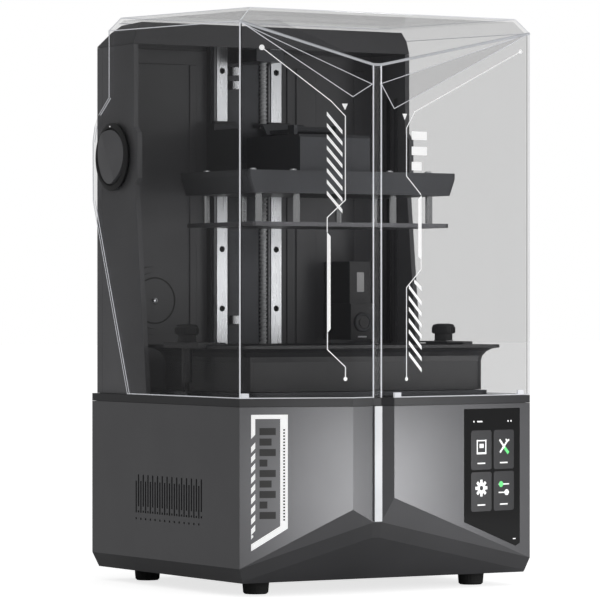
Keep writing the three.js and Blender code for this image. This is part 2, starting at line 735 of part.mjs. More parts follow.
const bearingBlock = (z0, z1) =>
  cut(
    block([-16, 16], [SCREW_Y - 14, COLUMN_FACE_Y - GAP], [z0, z1]),
    post(SCREW_RADIUS + GAP, 0, SCREW_Y, z0 - 1, z1 + 1),
  );
addPart(axis, "top_bearing", bearingBlock(514, 526), darkAluminium);
addPart(axis, "bottom_bearing", bearingBlock(HOUSING_BOTTOM, 196), darkAluminium);
addPart(axis, "lead_screw", post(SCREW_RADIUS, 0, SCREW_Y, 170, 524), steel);
const coupler = join(post(9, 0, SCREW_Y, 150, 169.7), post(2.5, 0, SCREW_Y, 141, 151));
addPart(axis, "shaft_coupler", coupler, darkAluminium);
const zMotor = cut(pillar(0, SCREW_Y, 42, 42, 104, 147), post(3, 0, SCREW_Y, 140, 148));
addPart(axis, "z_motor", zMotor, blackPlastic);

// ---- build platform on its arm ----
const platform = addGroup();
const CARRIAGE_BOTTOM = 400;
const CARRIAGE_TOP = 452;
function carriage() {
  const reach = RAIL_DEPTH - 2;
  const shell = block([-13.5, 13.5], [-7, reach], [CARRIAGE_BOTTOM, CARRIAGE_TOP]);
  const channel = block(
    [-RAIL_WIDTH / 2 - GAP, RAIL_WIDTH / 2 + GAP],
    [-GAP, reach + 1],
    [CARRIAGE_BOTTOM - 1, CARRIAGE_TOP + 1],
  );
  return cut(shell, channel);
}
addPart(platform, "carriage_left", carriage(), steel, [-RAIL_X, RAIL_FACE_Y, 0]);
addPart(platform, "carriage_right", carriage(), steel, [RAIL_X, RAIL_FACE_Y, 0]);

const BRACKET_Y = RAIL_FACE_Y - 7 - GAP;
const leadNut = cut(
  join(post(11, 0, SCREW_Y, 408, 440), block([-10, 10], [SCREW_Y, BRACKET_Y - 5 - GAP], [412, 436])),
  post(SCREW_RADIUS + GAP, 0, SCREW_Y, 400, 450),
);
addPart(platform, "lead_nut", leadNut, finish(0xa98b4c, 0.4, 0.9));

// The arm: a cast box over both carriages with a slot behind for the nut, and a neck that reaches forward.
const ARM_HALF = 49;
const ARM_TOP = 445;
const NECK_HALF = 40;
const NECK_TOP = 436;
const NECK_FRONT_Y = -33;
const NECK_REAR_Y = 70;
function platformArm() {
  const bottom = BLOCK_TOP + GAP;
  const box = block([-ARM_HALF, ARM_HALF], [NECK_REAR_Y, BRACKET_Y], [bottom + 4, ARM_TOP]);
  const nutSlot = block([-16, 16], [SCREW_Y - 16, BRACKET_Y + 1], [bottom, ARM_TOP + 1]);
  const neck = [
    [NECK_FRONT_Y, bottom],
    [NECK_REAR_Y + 1, bottom],
    [NECK_REAR_Y + 1, NECK_TOP],
    [NECK_FRONT_Y + 3, NECK_TOP],
    [NECK_FRONT_Y, NECK_TOP - 3],
  ];
  const ears = [-1, 1].map((side) => pillar(side * 24, LEVER_Y, 4, 12, NECK_TOP - 1, LEVER_Z + 5));
  return join(cut(box, nutSlot), sidePrism(neck, -NECK_HALF, NECK_HALF), ...ears);
}

// Quick release on top of the neck: a broad lever with a turned-up grip, hinged between two ears.
const LEVER_Y = 8;
const LEVER_Z = 441.5;
function releaseLever() {
  const barrel = crossPost(3.5, 0, 0, -21.5, 21.5, 20);
  const strap = block([-19, 19], [0, 54], [-2.5, 1.5]);
  const grip = sidePrism([[50, -2.5], [60, 1.5], [64, 8.5], [59, 8.5], [53, 1.5]], -24, 24);
  return join(barrel, strap, grip);
}
addPart(platform, "platform_arm", platformArm(), darkAluminium);
addPart(platform, "release_lever", releaseLever(), steel, [0, LEVER_Y, LEVER_Z]);

const blockSection = (z, width) => ({ z, outline: roundedOutline(width, PLATE_DEPTH + 4, 3, 0, 2) });
const platformBlock = loft([
  blockSection(BLOCK_BOTTOM, PLATE_WIDTH),
  blockSection(BLOCK_TOP - 6, PLATE_WIDTH + 12),
  blockSection(BLOCK_TOP, PLATE_WIDTH + 12),
]);
addPart(platform, "platform_block", platformBlock, darkAluminium);

const POST_XS = [-97, -55, 55, 97];
const plateTop = PLATE_BOTTOM + PLATE_THICKNESS;
const buildPlate = join(
  loft([
    { z: PLATE_BOTTOM, outline: roundedOutline(PLATE_WIDTH, PLATE_DEPTH, 4, 0, 2) },
    { z: plateTop, outline: roundedOutline(PLATE_WIDTH, PLATE_DEPTH, 4, 0, 2) },
  ]),
  ...POST_XS.flatMap((x) => [-51, 51].map((y) => post(3.5, x, y, plateTop - 1, BLOCK_BOTTOM - GAP, 12))),
);
addPart(platform, "build_plate", buildPlate, darkAluminium);

// ---- resin vat on its tilting tray ----
const vatGroup = addGroup();
const trayHeight = VAT_BOTTOM - 2 * GAP;
const vatOutline = (grow) =>
  roundedOutline(VAT_WIDTH + 2 * grow, VAT_DEPTH + 2 * grow, VAT_CORNER_RADIUS, VAT_Y);
const TRAY_BOTTOM = DECK_TOP + 2 * GAP;
const onBothSides = (make) => [-1, 1].map((side) => make(side * KNOB_X, side));
const filmOpening = (z0, z1) => pillar(0, 0, FILM_WIDTH, FILM_DEPTH, z0, z1);
const FRAME_WIDTH = FILM_WIDTH + 16;
const FRAME_DEPTH = FILM_DEPTH + 11;

const tray = join(
  cut(
    planPrism(roundedOutline(VAT_WIDTH + 6, VAT_DEPTH + 14, 10, VAT_Y), TRAY_BOTTOM, trayHeight),
    pillar(0, 0, FRAME_WIDTH + 2 * GAP, FRAME_DEPTH + 2 * GAP, TRAY_BOTTOM - 1, trayHeight + 1),
  ),
  ...onBothSides((x, side) => pillar(x - side * 6, 0, 26, 24, TRAY_BOTTOM, trayHeight)),
);
addPart(vatGroup, "tilt_tray", tray, darkAluminium);

// Heights and how far the wall leans out there: a quarter round from the wall to the rim.
const FLARE_START = VAT_RIM - 3 - VAT_FLARE;
const flareSteps = [0, 1, 2, 3, 4].map((step) => {
  const angle = (step * Math.PI) / 8;
  return { z: FLARE_START + VAT_FLARE * Math.sin(angle), grow: VAT_FLARE * (1 - Math.cos(angle)) };
});
const BOSS_BOTTOM = 195;
const BOSS_RADIUS = 5;
const SCREW_BORE = 3;

function resinVat() {
  const section = (z, grow) => ({ z, outline: vatOutline(grow) });
  const outer = loft([
    section(VAT_BOTTOM, 0),
    ...flareSteps.map(({ z, grow }) => section(z, grow)),
    section(VAT_RIM, VAT_FLARE),
  ]);
  const inner = loft([
    section(VAT_BOTTOM + WALL, -WALL),
    ...flareSteps.map(({ z, grow }) => section(z + WALL, grow - WALL)),
    section(VAT_RIM + 1, VAT_FLARE - WALL),
  ]);
  const pads = onBothSides((x, side) => pillar(x - side * 6, -5, 30, 68, VAT_RIM - 3, VAT_PAD_TOP));
  const bosses = onBothSides((x) => post(BOSS_RADIUS, x, 0, BOSS_BOTTOM, VAT_RIM));
  const bores = onBothSides((x) => post(SCREW_BORE, x, 0, BOSS_BOTTOM - 1, VAT_PAD_TOP + 1));
  const clearance = planPrism(vatOutline(-WALL), VAT_BOTTOM + WALL, FLARE_START + WALL);
  return cut(
    join(outer, ...pads, ...bosses),
    inner,
    clearance,
    filmOpening(VAT_BOTTOM - 1, VAT_BOTTOM + WALL + 1),
    ...bores,
  );
}
addPart(vatGroup, "resin_vat", resinVat(), blackPlastic);
const filmFrame = cut(
  pillar(0, 0, FRAME_WIDTH, FRAME_DEPTH, TRAY_BOTTOM, trayHeight),
  filmOpening(TRAY_BOTTOM - 1, trayHeight + 1),
);
addPart(vatGroup, "film_frame", filmFrame, steel);
const film = pillar(0, 0, FILM_WIDTH - 1, FILM_DEPTH - 1, TRAY_BOTTOM, TRAY_BOTTOM + 0.6);
addPart(vatGroup, "release_film", film, amberFilm);

// Thumb screws: a domed cap, a neck and a shank that reaches down through the vat to the tray.
function thumbScrew() {
  const seat = VAT_PAD_TOP + GAP;
  const profile = [
    [0, trayHeight + GAP],
    [SCREW_BORE - 0.6, trayHeight + GAP],
    [SCREW_BORE - 0.6, seat],
    [9.3, seat],
    [9.3, 240.5],
    [11.8, 241],
    [11.8, 248],
    [10, 250.5],
    [0, 251],
  ];
  return turned(profile, 0, 0);
}
addPart(vatGroup, "vat_knob_left", thumbScrew(), blackPlastic, [-KNOB_X, 0, 0]);
addPart(vatGroup, "vat_knob_right", thumbScrew(), blackPlastic, [KNOB_X, 0, 0]);

// ---- hood ----
const hood = addGroup();
const HOOD_REAR_TOP = 130.7;
const HOOD_REAR_LOW = 92;
const ROOF_BEVEL = HOOD_END.edgeInset;
const ROOF_DROP = HOOD_END.edge - HOOD_END.corner;
const HOOD_REAR_CUT = [
  [HOOD_REAR_LOW, 100],
  [200, 100],
  [200, 600],
  [HOOD_REAR_TOP, 600],
  [HOOD_REAR_TOP, 475],
  [152, 459],
  [160, 448],
  [REAR, 432],
  [REAR, 400],
  [REAR - 0.6, 374],
  [HOOD_REAR_LOW, 182],
];

function hoodBody(thickness) {
  const frontY = CORNER_Y + EDGE_STEP;
  const roofFront = [0, frontY, HOOD_END.edge];
  const roofRear = [0, HOOD_REAR_TOP, HEIGHT];
  const eaveFront = [HALF, CORNER_Y, HOOD_END.corner];
  const eaveRear = [HALF, HOOD_REAR_TOP, HEIGHT - ROOF_DROP];
  const ridgeFront = [HALF - ROOF_BEVEL, frontY, HOOD_END.edge];
  const mirrored = ([x, y, z]) => [-x, y, z];
  return cut(
    prowBody(HOOD_END, HOOD_BOTTOM - (thickness ? 1 : 0), HEIGHT + 1, 200, thickness),
    halfSpace(roofFront, [HALF, frontY, HOOD_END.edge], roofRear, -thickness),
    halfSpace(eaveFront, eaveRear, ridgeFront, -thickness),
    halfSpace(mirrored(eaveFront), mirrored(ridgeFront), mirrored(eaveRear), -thickness),
  );
}

const hingeHole = crossPost(HINGE_BOSS_RADIUS + GAP, HINGE_Y, HINGE_Z, -HALF - 1, HALF + 1);
const rearCut = sidePrism(HOOD_REAR_CUT, -HALF - 1, HALF + 1);
const REAR_LIP = 3.5; // a low lip under the rear edge of the roof
const lipRoom = block(
  [-HALF, HALF],
  [HOOD_REAR_TOP - WALL, HOOD_REAR_TOP],
  [HEIGHT - WALL - REAR_LIP, 2 * HEIGHT],
);
const hoodShell = join(cut(hoodBody(0), hoodBody(WALL)), hoodBody(0).intersect(lipRoom));
addPart(hood, "hood", cut(hoodShell, rearCut, hingeHole), smokedClear);

function hingeCap(side) {
  const turn = new THREE.Matrix4().makeRotationY((side * Math.PI) / 2);
  const profile = [
    [0, GAP],
    [HINGE_CAP_RADIUS, GAP],
    [HINGE_CAP_RADIUS, 1.4],
    [30.5, 3],
    [28.5, 3],
    [27.5, 1.6],
    [26, HINGE_CAP_DEPTH],
    [0, HINGE_CAP_DEPTH],
  ].map(([radius, height]) => new THREE.Vector2(radius, height));
  const geometry = new THREE.LatheGeometry(profile, 40).rotateX(Math.PI / 2);
  return solidOf(geometry.applyMatrix4(turn));
}
addPart(hood, "hinge_cap_left", hingeCap(-1), blackPlastic, [-HALF, HINGE_Y, HINGE_Z]);
addPart(hood, "hinge_cap_right", hingeCap(1), blackPlastic, [HALF, HINGE_Y, HINGE_Z]);

export default printer;
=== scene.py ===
"""Looks of a desktop resin 3D printer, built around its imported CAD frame.

Metres, in the frame of the CAD model: X to the right, the prow of the printer points to -Y, Z is up.
"""
import math

import bmesh
import bpy
from mathutils import Matrix, Vector


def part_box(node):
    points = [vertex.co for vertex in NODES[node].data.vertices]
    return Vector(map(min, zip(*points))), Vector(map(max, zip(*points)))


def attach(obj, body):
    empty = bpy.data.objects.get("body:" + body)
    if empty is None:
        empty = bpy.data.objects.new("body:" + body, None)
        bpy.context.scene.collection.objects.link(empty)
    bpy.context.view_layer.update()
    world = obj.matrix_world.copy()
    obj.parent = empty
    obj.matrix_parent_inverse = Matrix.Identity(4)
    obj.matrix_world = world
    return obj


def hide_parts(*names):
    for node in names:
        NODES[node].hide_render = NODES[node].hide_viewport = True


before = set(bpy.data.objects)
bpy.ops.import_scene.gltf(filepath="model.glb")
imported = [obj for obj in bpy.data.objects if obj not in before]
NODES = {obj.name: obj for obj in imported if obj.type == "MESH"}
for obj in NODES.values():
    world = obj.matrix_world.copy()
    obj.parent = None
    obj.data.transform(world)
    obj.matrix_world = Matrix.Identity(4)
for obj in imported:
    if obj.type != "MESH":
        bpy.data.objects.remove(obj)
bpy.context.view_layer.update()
MM = 0.001


# ---------------------------------------------------------------- places read from the frame
def low(node):
    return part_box(node)[0]


def high(node):
    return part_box(node)[1]


def middle(node):
    return (low(node) + high(node)) / 2


DATUM = low("base_shell").z - 9 * MM  # the level that printed heights are measured from
DECK_TOP = high("deck").z
HOOD_LOW = low("hood").z
HALF_WIDTH = high("base_shell").x
FRONT_Y = low("base_shell").y
REAR_Y = high("base_shell").y


def prow_corners():
    """Where the front corners, ridges and groove of the prow stand in plan, from the deck's outline."""
    top = [v.co for v in NODES["deck"].data.vertices if v.co.z > DECK_TOP - MM]
    ridges = sorted({round(p.x, 5) for p in top if p.y < FRONT_Y + MM})
    groove = [p for p in top if FRONT_Y + MM < p.y < FRONT_Y + 12 * MM]
    groove_x = sorted({round(p.x, 5) for p in groove})
    corner_y = min(p.y for p in top if abs(p.x) > HALF_WIDTH - MM)
    return ridges, groove_x, groove[0].y, corner_y


(RIDGE_LEFT_X, RIDGE_RIGHT_X), (GROOVE_LEFT_X, GROOVE_RIGHT_X), GROOVE_Y, CORNER_Y = prow_corners()


class Facet:
    """An upright flat face, with a distance along it from its left edge and a height."""

    def __init__(self, start, end):
        self.start = Vector((start[0], start[1], 0))
        self.run = Vector((end[0] - start[0], end[1] - start[1], 0))
        self.length = self.run.length
        self.run.normalize()
        self.out = self.run.cross(Vector((0, 0, 1)))

    def at(self, along, height, off=0.0):
        """A point given in millimetres along, up and off the face."""
        flat = self.start + self.run * (along * MM) + self.out * (off * MM)
        return flat + Vector((0, 0, DATUM + height * MM))


LEFT_FACET = Facet((-HALF_WIDTH, CORNER_Y), (RIDGE_LEFT_X, FRONT_Y))
RIGHT_FACET = Facet((RIDGE_RIGHT_X, FRONT_Y), (HALF_WIDTH, CORNER_Y))


# ---------------------------------------------------------------- materials
def new_material(name):
    made = bpy.data.materials.new(name)
    made.use_nodes = True
    return made, made.node_tree.nodes, made.node_tree.links


def noise(nodes, links, scale, detail, stretch=(1, 1, 1)):
    """Noise in the object's own coordinates, which are the frame's."""
    coordinates = nodes.new("ShaderNodeTexCoord")
    mapping = nodes.new("ShaderNodeMapping")
    mapping.inputs["Scale"].default_value = stretch
    texture = nodes.new("ShaderNodeTexNoise")
    texture.inputs["Scale"].default_value = scale
    texture.inputs["Detail"].default_value = detail
    links.new(coordinates.outputs["Object"], mapping.inputs["Vector"])
    links.new(mapping.outputs["Vector"], texture.inputs["Vector"])
    return texture.outputs["Fac"]


def ramp(nodes, links, value, stops):
    made = nodes.new("ShaderNodeValToRGB")
    elements = made.color_ramp.elements
    while len(elements) < len(stops):
        elements.new(0.5)
    for element, (position, color) in zip(elements, stops):
        element.position = position
        element.color = (*color, 1.0)
    links.new(value, made.inputs["Fac"])
    return made.outputs["Color"]


def scaled(color, factor):
    return tuple(min(1.0, c * factor) for c in color)


def moulded(name, color, roughness, grain=2400.0, bump=0.12, metallic=0.0, mottle=0.12, stretch=(1, 1, 1)):
    """A moulded, painted or blasted surface: faint mottling in colour and roughness, and a fine grain."""
    made, nodes, links = new_material(name)
    shader = nodes["Principled BSDF"]
    shader.inputs["Metallic"].default_value = metallic
    broad = noise(nodes, links, 14.0, 4.0)
    fine = noise(nodes, links, grain, 2.0, stretch)
    colors = [(0.3, scaled(color, 1 - mottle)), (0.7, scaled(color, 1 + mottle))]
    links.new(ramp(nodes, links, broad, colors), shader.inputs["Base Color"])
    rough = nodes.new("ShaderNodeMapRange")
    rough.inputs["To Min"].default_value = roughness * 0.85
    rough.inputs["To Max"].default_value = min(1.0, roughness * 1.15)
    links.new(fine, rough.inputs["Value"])
    links.new(rough.outputs["Result"], shader.inputs["Roughness"])
    relief = nodes.new("ShaderNodeBump")
    relief.inputs["Strength"].default_value = bump
    relief.inputs["Distance"].default_value = 0.0002
    links.new(fine, relief.inputs["Height"])
    links.new(relief.outputs["Normal"], shader.inputs["Normal"])
    return made


def metallic_paint(name, color):
    """Grey paint with fine metal flakes under a satin lacquer."""
    made = moulded(name, color, 0.36, grain=2600.0, bump=0.05, metallic=0.55, mottle=0.05)
    shader = made.node_tree.nodes["Principled BSDF"]
    shader.inputs["Coat Weight"].default_value = 0.25
    shader.inputs["Coat Roughness"].default_value = 0.22
    return made


def smoked_acrylic(name, color, facing, edge, knee=0.5, glow=0.0):
    """Clear sheet with a grey tint: mostly see-through face on, denser and glossier at a glance."""
    made, nodes, links = new_material(name)
    shader = nodes["Principled BSDF"]
    shader.inputs["Roughness"].default_value = 0.04
    shader.inputs["IOR"].default_value = 1.49
    shader.inputs["Specular IOR Level"].default_value = 0.8
    tint = noise(nodes, links, 6.0, 2.0)
    shade = ramp(nodes, links, tint, [(0.3, color), (0.7, scaled(color, 1.15))])
    links.new(shade, shader.inputs["Base Color"])
    links.new(shade, shader.inputs["Emission Color"])
    # A glow above nought is painted light, used for the highlighted edges.
    shader.inputs["Emission Strength"].default_value = glow
    weight = nodes.new("ShaderNodeLayerWeight")
    weight.inputs["Blend"].default_value = 0.35
    halfway = facing + (edge - facing) * 0.25
    stops = [(0.0, (facing,) * 3), (knee, (halfway,) * 3), (1.0, (edge,) * 3)]
    links.new(ramp(nodes, links, weight.outputs["Facing"], stops), shader.inputs["Alpha"])
    return made


def glowing(name, color, strength=1.0):
    """A mark that glows, with a faint mottle: the lit marks of the display, and on prints a painted glow
    that keeps them bright in the shade.
    """
    made, nodes, links = new_material(name)
    shader = nodes["Principled BSDF"]
    shader.inputs["Roughness"].default_value = 0.4
    shader.inputs["Emission Strength"].default_value = strength
    pixels = noise(nodes, links, 3000.0, 0.0)
    shade = ramp(nodes, links, pixels, [(0.2, scaled(color, 0.9)), (0.8, color)])
    links.new(shade, shader.inputs["Base Color"])
    links.new(shade, shader.inputs["Emission Color"])
    return made


PAINT = metallic_paint("metallic_grey_paint", (0.120, 0.120, 0.126))
# Dark plastic of the lower band, dark enough to also hold the painted shade of the faces that look down.
DARK_BAND = moulded("chamfer_grey", (0.035, 0.035, 0.038), 0.45, bump=0.1)
DECK_PLASTIC = moulded("deck_plastic", (0.024, 0.024, 0.027), 0.42, bump=0.1)
CAP_PLASTIC = moulded("housing_cap_plastic", (0.070, 0.070, 0.075), 0.42, bump=0.04)
HOUSING_PLASTIC = moulded("housing_plastic", (0.125, 0.125, 0.132), 0.42, grain=1200.0, bump=0.04)
BLACK_PLASTIC = moulded("black_plastic", (0.028, 0.028, 0.030), 0.42, bump=0.015)
SOFT_BLACK = moulded("soft_black", (0.010, 0.010, 0.011), 0.55, bump=0.2)
RUBBER = moulded("foot_rubber", (0.012, 0.012, 0.012), 0.8, grain=500.0, bump=0.35)
PALE_TRIM = moulded("pale_trim", (0.72, 0.73, 0.75), 0.32, bump=0.04, metallic=0.3)
# White print with a painted glow, so it stays bright in the shade.
GLOWING_WHITE_PRINT = glowing("white_print_painted_glow", (0.84, 0.84, 0.84), 0.45)
BLACK_PRINT = moulded("black_print", (0.008, 0.008, 0.008), 0.45, bump=0.03)
BRUSHED_STEEL = moulded(
    "brushed_steel", (0.62, 0.63, 0.65), 0.28, grain=500.0, bump=0.08, metallic=0.9, mottle=0.06,
    stretch=(1, 1, 0.03),
)
SATIN_STEEL = moulded("satin_steel", (0.72, 0.73, 0.74), 0.45, bump=0.03, metallic=0.5)
CHROME = moulded("polished_steel", (0.78, 0.79, 0.80), 0.14, bump=0.02, metallic=1.0, mottle=0.04)
ANODISED = moulded("anodised_aluminium", (0.070, 0.072, 0.078), 0.40, grain=1500.0, bump=0.10, metallic=0.7)
PLATE_METAL = moulded("etched_plate", (0.16, 0.16, 0.17), 0.42, grain=700.0, bump=0.35, metallic=0.8)
BRASS = moulded("turned_brass", (0.55, 0.42, 0.20), 0.3, bump=0.05, metallic=1.0)
BOARD = moulded("solder_mask", (0.02, 0.12, 0.06), 0.4, grain=300.0, bump=0.2)
GLASS_BLACK = moulded("display_glass", (0.0045, 0.0045, 0.005), 0.06, bump=0.0)
LENS_GLASS = moulded("lens_glass", (0.006, 0.006, 0.008), 0.32, bump=0.0)
MASK_PANEL = moulded("mask_panel_glass", (0.010, 0.012, 0.016), 0.05, bump=0.0)
LAMP_LENS = moulded("lamp_lens", (0.8, 0.8, 0.8), 0.3, bump=0.02)
SMOKED = smoked_acrylic("smoked_acrylic", (0.050, 0.050, 0.055), 0.09, 0.42, knee=0.7)
# Painted highlight: a pale, glowing acrylic for the bright edges of the hood and the bright spots on its
# rim.
EDGE_HIGHLIGHT = smoked_acrylic("acrylic_edge_painted_highlight", (0.80, 0.81, 0.84), 0.80, 0.95, glow=0.30)
# Painted highlight: a grey, glowing acrylic for the light fold line over the ridges.
EDGE_GREY_HIGHLIGHT = smoked_acrylic("acrylic_edge_grey_painted_highlight", (0.45, 0.46, 0.48), 0.75, 0.95, glow=0.35)
# Painted reflection: a denser tint for the thin facets of the hood, where the dark housing is mirrored.
FOLD_REFLECTION_TINT = smoked_acrylic("smoked_acrylic_painted_reflection", (0.030, 0.030, 0.034), 0.26, 0.45)
# Painted shade: a near-black strip for the dark inside corners of the hood.
EDGE_SHADE = moulded("acrylic_edge_painted_shade", (0.010, 0.010, 0.011), 0.2, bump=0.02)
CLEAR = smoked_acrylic("clear_acrylic", (0.75, 0.77, 0.80), 0.25, 0.55)

NODE_FINISH = {
    PAINT: ["base_shell"],
    DECK_PLASTIC: ["deck"],
    HOUSING_PLASTIC: ["housing_arm_left", "housing_arm_right", "housing_back", "filter_cover"],
    CAP_PLASTIC: ["housing_top_cap"],
    BLACK_PLASTIC: [
        "light_shroud", "cooling_fan_frame", "cooling_fan_rotor", "power_inlet", "power_switch",
        "camera_body", "lamp_housing", "z_motor", "resin_vat", "hinge_cap_left", "hinge_cap_right",
        "vat_knob_left", "vat_knob_right",
    ],
    PALE_TRIM: ["front_strip"],
    LAMP_LENS: ["chamber_lamp"],
    RUBBER: ["foot_front_left", "foot_front_right", "foot_rear_left", "foot_rear_right"],
    BRUSHED_STEEL: [
        "power_supply", "usb_port", "hinge_boss_left", "hinge_boss_right", "rail_left", "rail_right",
        "lead_screw", "film_frame",
    ],
    ANODISED: [
        "base_floor", "display_module", "panel_frame", "heat_sink", "z_column", "top_bearing",
        "bottom_bearing", "shaft_coupler", "platform_arm", "platform_block", "tilt_tray",
        "carriage_left", "carriage_right", "release_lever",
    ],
    PLATE_METAL: ["build_plate"],
    BOARD: ["led_array", "mainboard"],
    GLASS_BLACK: ["touch_screen"],
    LENS_GLASS: ["camera_lens"],
    MASK_PANEL: ["lcd_mask_panel"],
    SMOKED: ["hood"],
    CLEAR: ["collimating_lens", "release_film"],
    BRASS: ["lead_nut"],
}
BEVELS = {  # width of the rounded edges, in millimetres
    "base_shell": 1.2, "deck": 0.5, "housing_back": 2.0, "housing_top_cap": 1.5,
    "housing_arm_left": 1.2, "housing_arm_right": 1.2, "platform_block": 1.2, "platform_arm": 1.2,
    "camera_body": 1.2, "lamp_housing": 1.0, "resin_vat": 0.8, "build_plate": 0.6, "power_supply": 1.0,
    "carriage_left": 0.8, "carriage_right": 0.8, "top_bearing": 0.8, "bottom_bearing": 0.8,
    "release_lever": 0.8, "tilt_tray": 0.6, "z_motor": 1.5, "hood": 0.5, "filter_cover": 1.0,
    "chamber_lamp": 1.0, "cooling_fan_frame": 1.0,
}
SHARP_ANGLE = math.radians(32)  # edges that turn more than this stay sharp, and bevels round them


def smooth_by_angle(obj):
    """Smooth shading with sharp edges kept where the surface turns more than the sharp angle."""
    mesh = obj.data
    mesh.shade_smooth()
    marks = bmesh.new()
    marks.from_mesh(mesh)
    for edge in marks.edges:
        edge.smooth = not edge.is_manifold or edge.calc_face_angle(0.0) < SHARP_ANGLE
    marks.to_mesh(mesh)
    marks.free()


def dress(obj, material, bevel=0.0):
    obj.data.materials.clear()
    obj.data.materials.append(material)
    smooth_by_angle(obj)
    if bevel:
        modifier = obj.modifiers.new("edges", "BEVEL")
        modifier.width = bevel * MM
        modifier.segments = 2
        modifier.limit_method = "ANGLE"
        modifier.angle_limit = SHARP_ANGLE
        modifier.harden_normals = True


for material, names in NODE_FINISH.items():
    for name in names:
        dress(NODES[name], material, BEVELS.get(name, 0.0))


# ---------------------------------------------------------------- mesh helpers
def add_piece(name, bm, material, body, bevel=0.0):
    bmesh.ops.recalc_face_normals(bm, faces=bm.faces)
    mesh = bpy.data.meshes.new(name)
    bm.to_mesh(mesh)
    bm.free()
    obj = bpy.data.objects.new(name, mesh)
    bpy.context.scene.collection.objects.link(obj)
    dress(obj, material, bevel)
    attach(obj, body)
    return obj


def add_prism(bm, corners, offset):
    """A closed prism from a ring of points, moved by an offset."""
    near = [bm.verts.new(p) for p in corners]
    far = [bm.verts.new(p + offset) for p in corners]
    bm.faces.new(near[::-1])
    bm.faces.new(far)
    for i, _ in enumerate(near):
        j = (i + 1) % len(near)
        bm.faces.new((near[i], near[j], far[j], far[i]))


def add_box(bm, lowest, highest):
    (x0, y0, z0), (x1, y1, z1) = lowest, highest
    ring = [Vector((x0, y0, z0)), Vector((x1, y0, z0)), Vector((x1, y1, z0)), Vector((x0, y1, z0))]
    add_prism(bm, ring, Vector((0, 0, z1 - z0)))


def add_bar(bm, start, end, across, width, out, height):
    """A straight bar with a rectangular section along the line from start to end."""
    side = across.normalized() * (width / 2)
    add_prism(bm, [start - side, end - side, end + side, start + side], out.normalized() * height)


def add_disc(bm, centre, direction, radius, height, sides):
    """A round plug whose axis runs along a direction from its centre."""
    turn = direction.to_track_quat("Z", "Y").to_matrix().to_4x4()
    place = Matrix.Translation(centre + direction.normalized() * (height / 2)) @ turn
    bmesh.ops.create_cone(
        bm, cap_ends=True, segments=sides, radius1=radius, radius2=radius, depth=height, matrix=place,
    )


def add_turned(bm, centre, direction, profile, sides=48):
    """A body of revolution: a profile of (radius, distance along the direction) pairs, ends on the axis."""
    axis = direction.normalized()
    turn = axis.to_track_quat("Z", "Y").to_matrix()
    rings = []
    for radius, distance in profile:
        if radius == 0:
            rings.append([bm.verts.new(centre + axis * distance)])
            continue
        ring = []
        for i in range(sides):
            angle = 2 * math.pi * i / sides
            spoke = turn @ Vector((math.cos(angle), math.sin(angle), 0))
            ring.append(bm.verts.new(centre + axis * distance + spoke * radius))
        rings.append(ring)
    for lower, upper in zip(rings, rings[1:]):
        for i in range(sides):
            j = (i + 1) % sides
            corners = [
                lower[i % len(lower)], lower[j % len(lower)],
                upper[j % len(upper)], upper[i % len(upper)],
            ]
            bm.faces.new(list(dict.fromkeys(corners)))


def screw_head(bm, centre, direction, radius):
    """A button head with a hexagon socket."""
    profile = [
        (0, 0), (radius, 0), (radius, radius * 0.35), (radius * 0.8, radius * 0.62),
        (radius * 0.5, radius * 0.68), (radius * 0.42, radius * 0.30), (0, radius * 0.28),
    ]
    add_turned(bm, centre, direction, profile, 18)


UP = Vector((0, 0, 1))
FORWARD = Vector((0, -1, 0))
BACK = Vector((0, 1, 0))
LEFT = Vector((-1, 0, 0))
RIGHT = Vector((1, 0, 0))


# ---------------------------------------------------------------- base
def band_faces():
    """Dark plastic on the folded lower edge of the base, which looks down, but not on the thin facets; its
    darkness also stands for painted shade under the base.
    """
    shell = NODES["base_shell"]
    shell.data.materials.append(DARK_BAND)
    thin_facet_height = DATUM + 70 * MM
    for face in shell.data.polygons:
        top = max(shell.data.vertices[i].co.z for i in face.vertices)
        if face.normal.z < -0.1 and top < thin_facet_height:
            face.material_index = 1


PRINT_OFF = 0.02  # how far a printed shape stands off its facet, in millimetres
PRINT_THICK = 0.12  # and how thick it is


def flat_print(bm, facet, corners, off=PRINT_OFF, thick=PRINT_THICK):
    """A printed shape on a facet, from (along, height) corners in millimetres."""
    add_prism(bm, [facet.at(a, h, off) for a, h in corners], facet.out * (thick * MM))


def printed_rectangle(bm, facet, left, bottom, width, height, off=PRINT_OFF, thick=PRINT_THICK):
    right, top = left + width, bottom + height
    flat_print(bm, facet, [(left, bottom), (right, bottom), (right, top), (left, top)], off, thick)


def printed_line(bm, facet, path, width, off=PRINT_OFF, thick=PRINT_THICK):
    for (a0, h0), (a1, h1) in zip(path, path[1:]):
        start, end = facet.at(a0, h0, off), facet.at(a1, h1, off)
        along = (end - start).normalized()
        grow = along * (width * MM * 0.3)
        across = along.cross(facet.out)
        add_bar(bm, start - grow, end + grow, across, width * MM, facet.out, thick * MM)


def printed_dot(bm, facet, place, radius, off=PRINT_OFF, thick=PRINT_THICK, sides=20):
    add_disc(bm, facet.at(*place, off), facet.out, radius * MM, thick * MM, sides)


def hatch(bm, facet, left, right, start, count, pitch, width, lean):
    """Slanted stripes, one under another, from left to right; lean is how far they drop on the way."""
    for i in range(count):
        top = start - i * pitch
        corners = [(left, top), (right, top - lean), (right, top - lean - width), (left, top - width)]
        flat_print(bm, facet, corners)


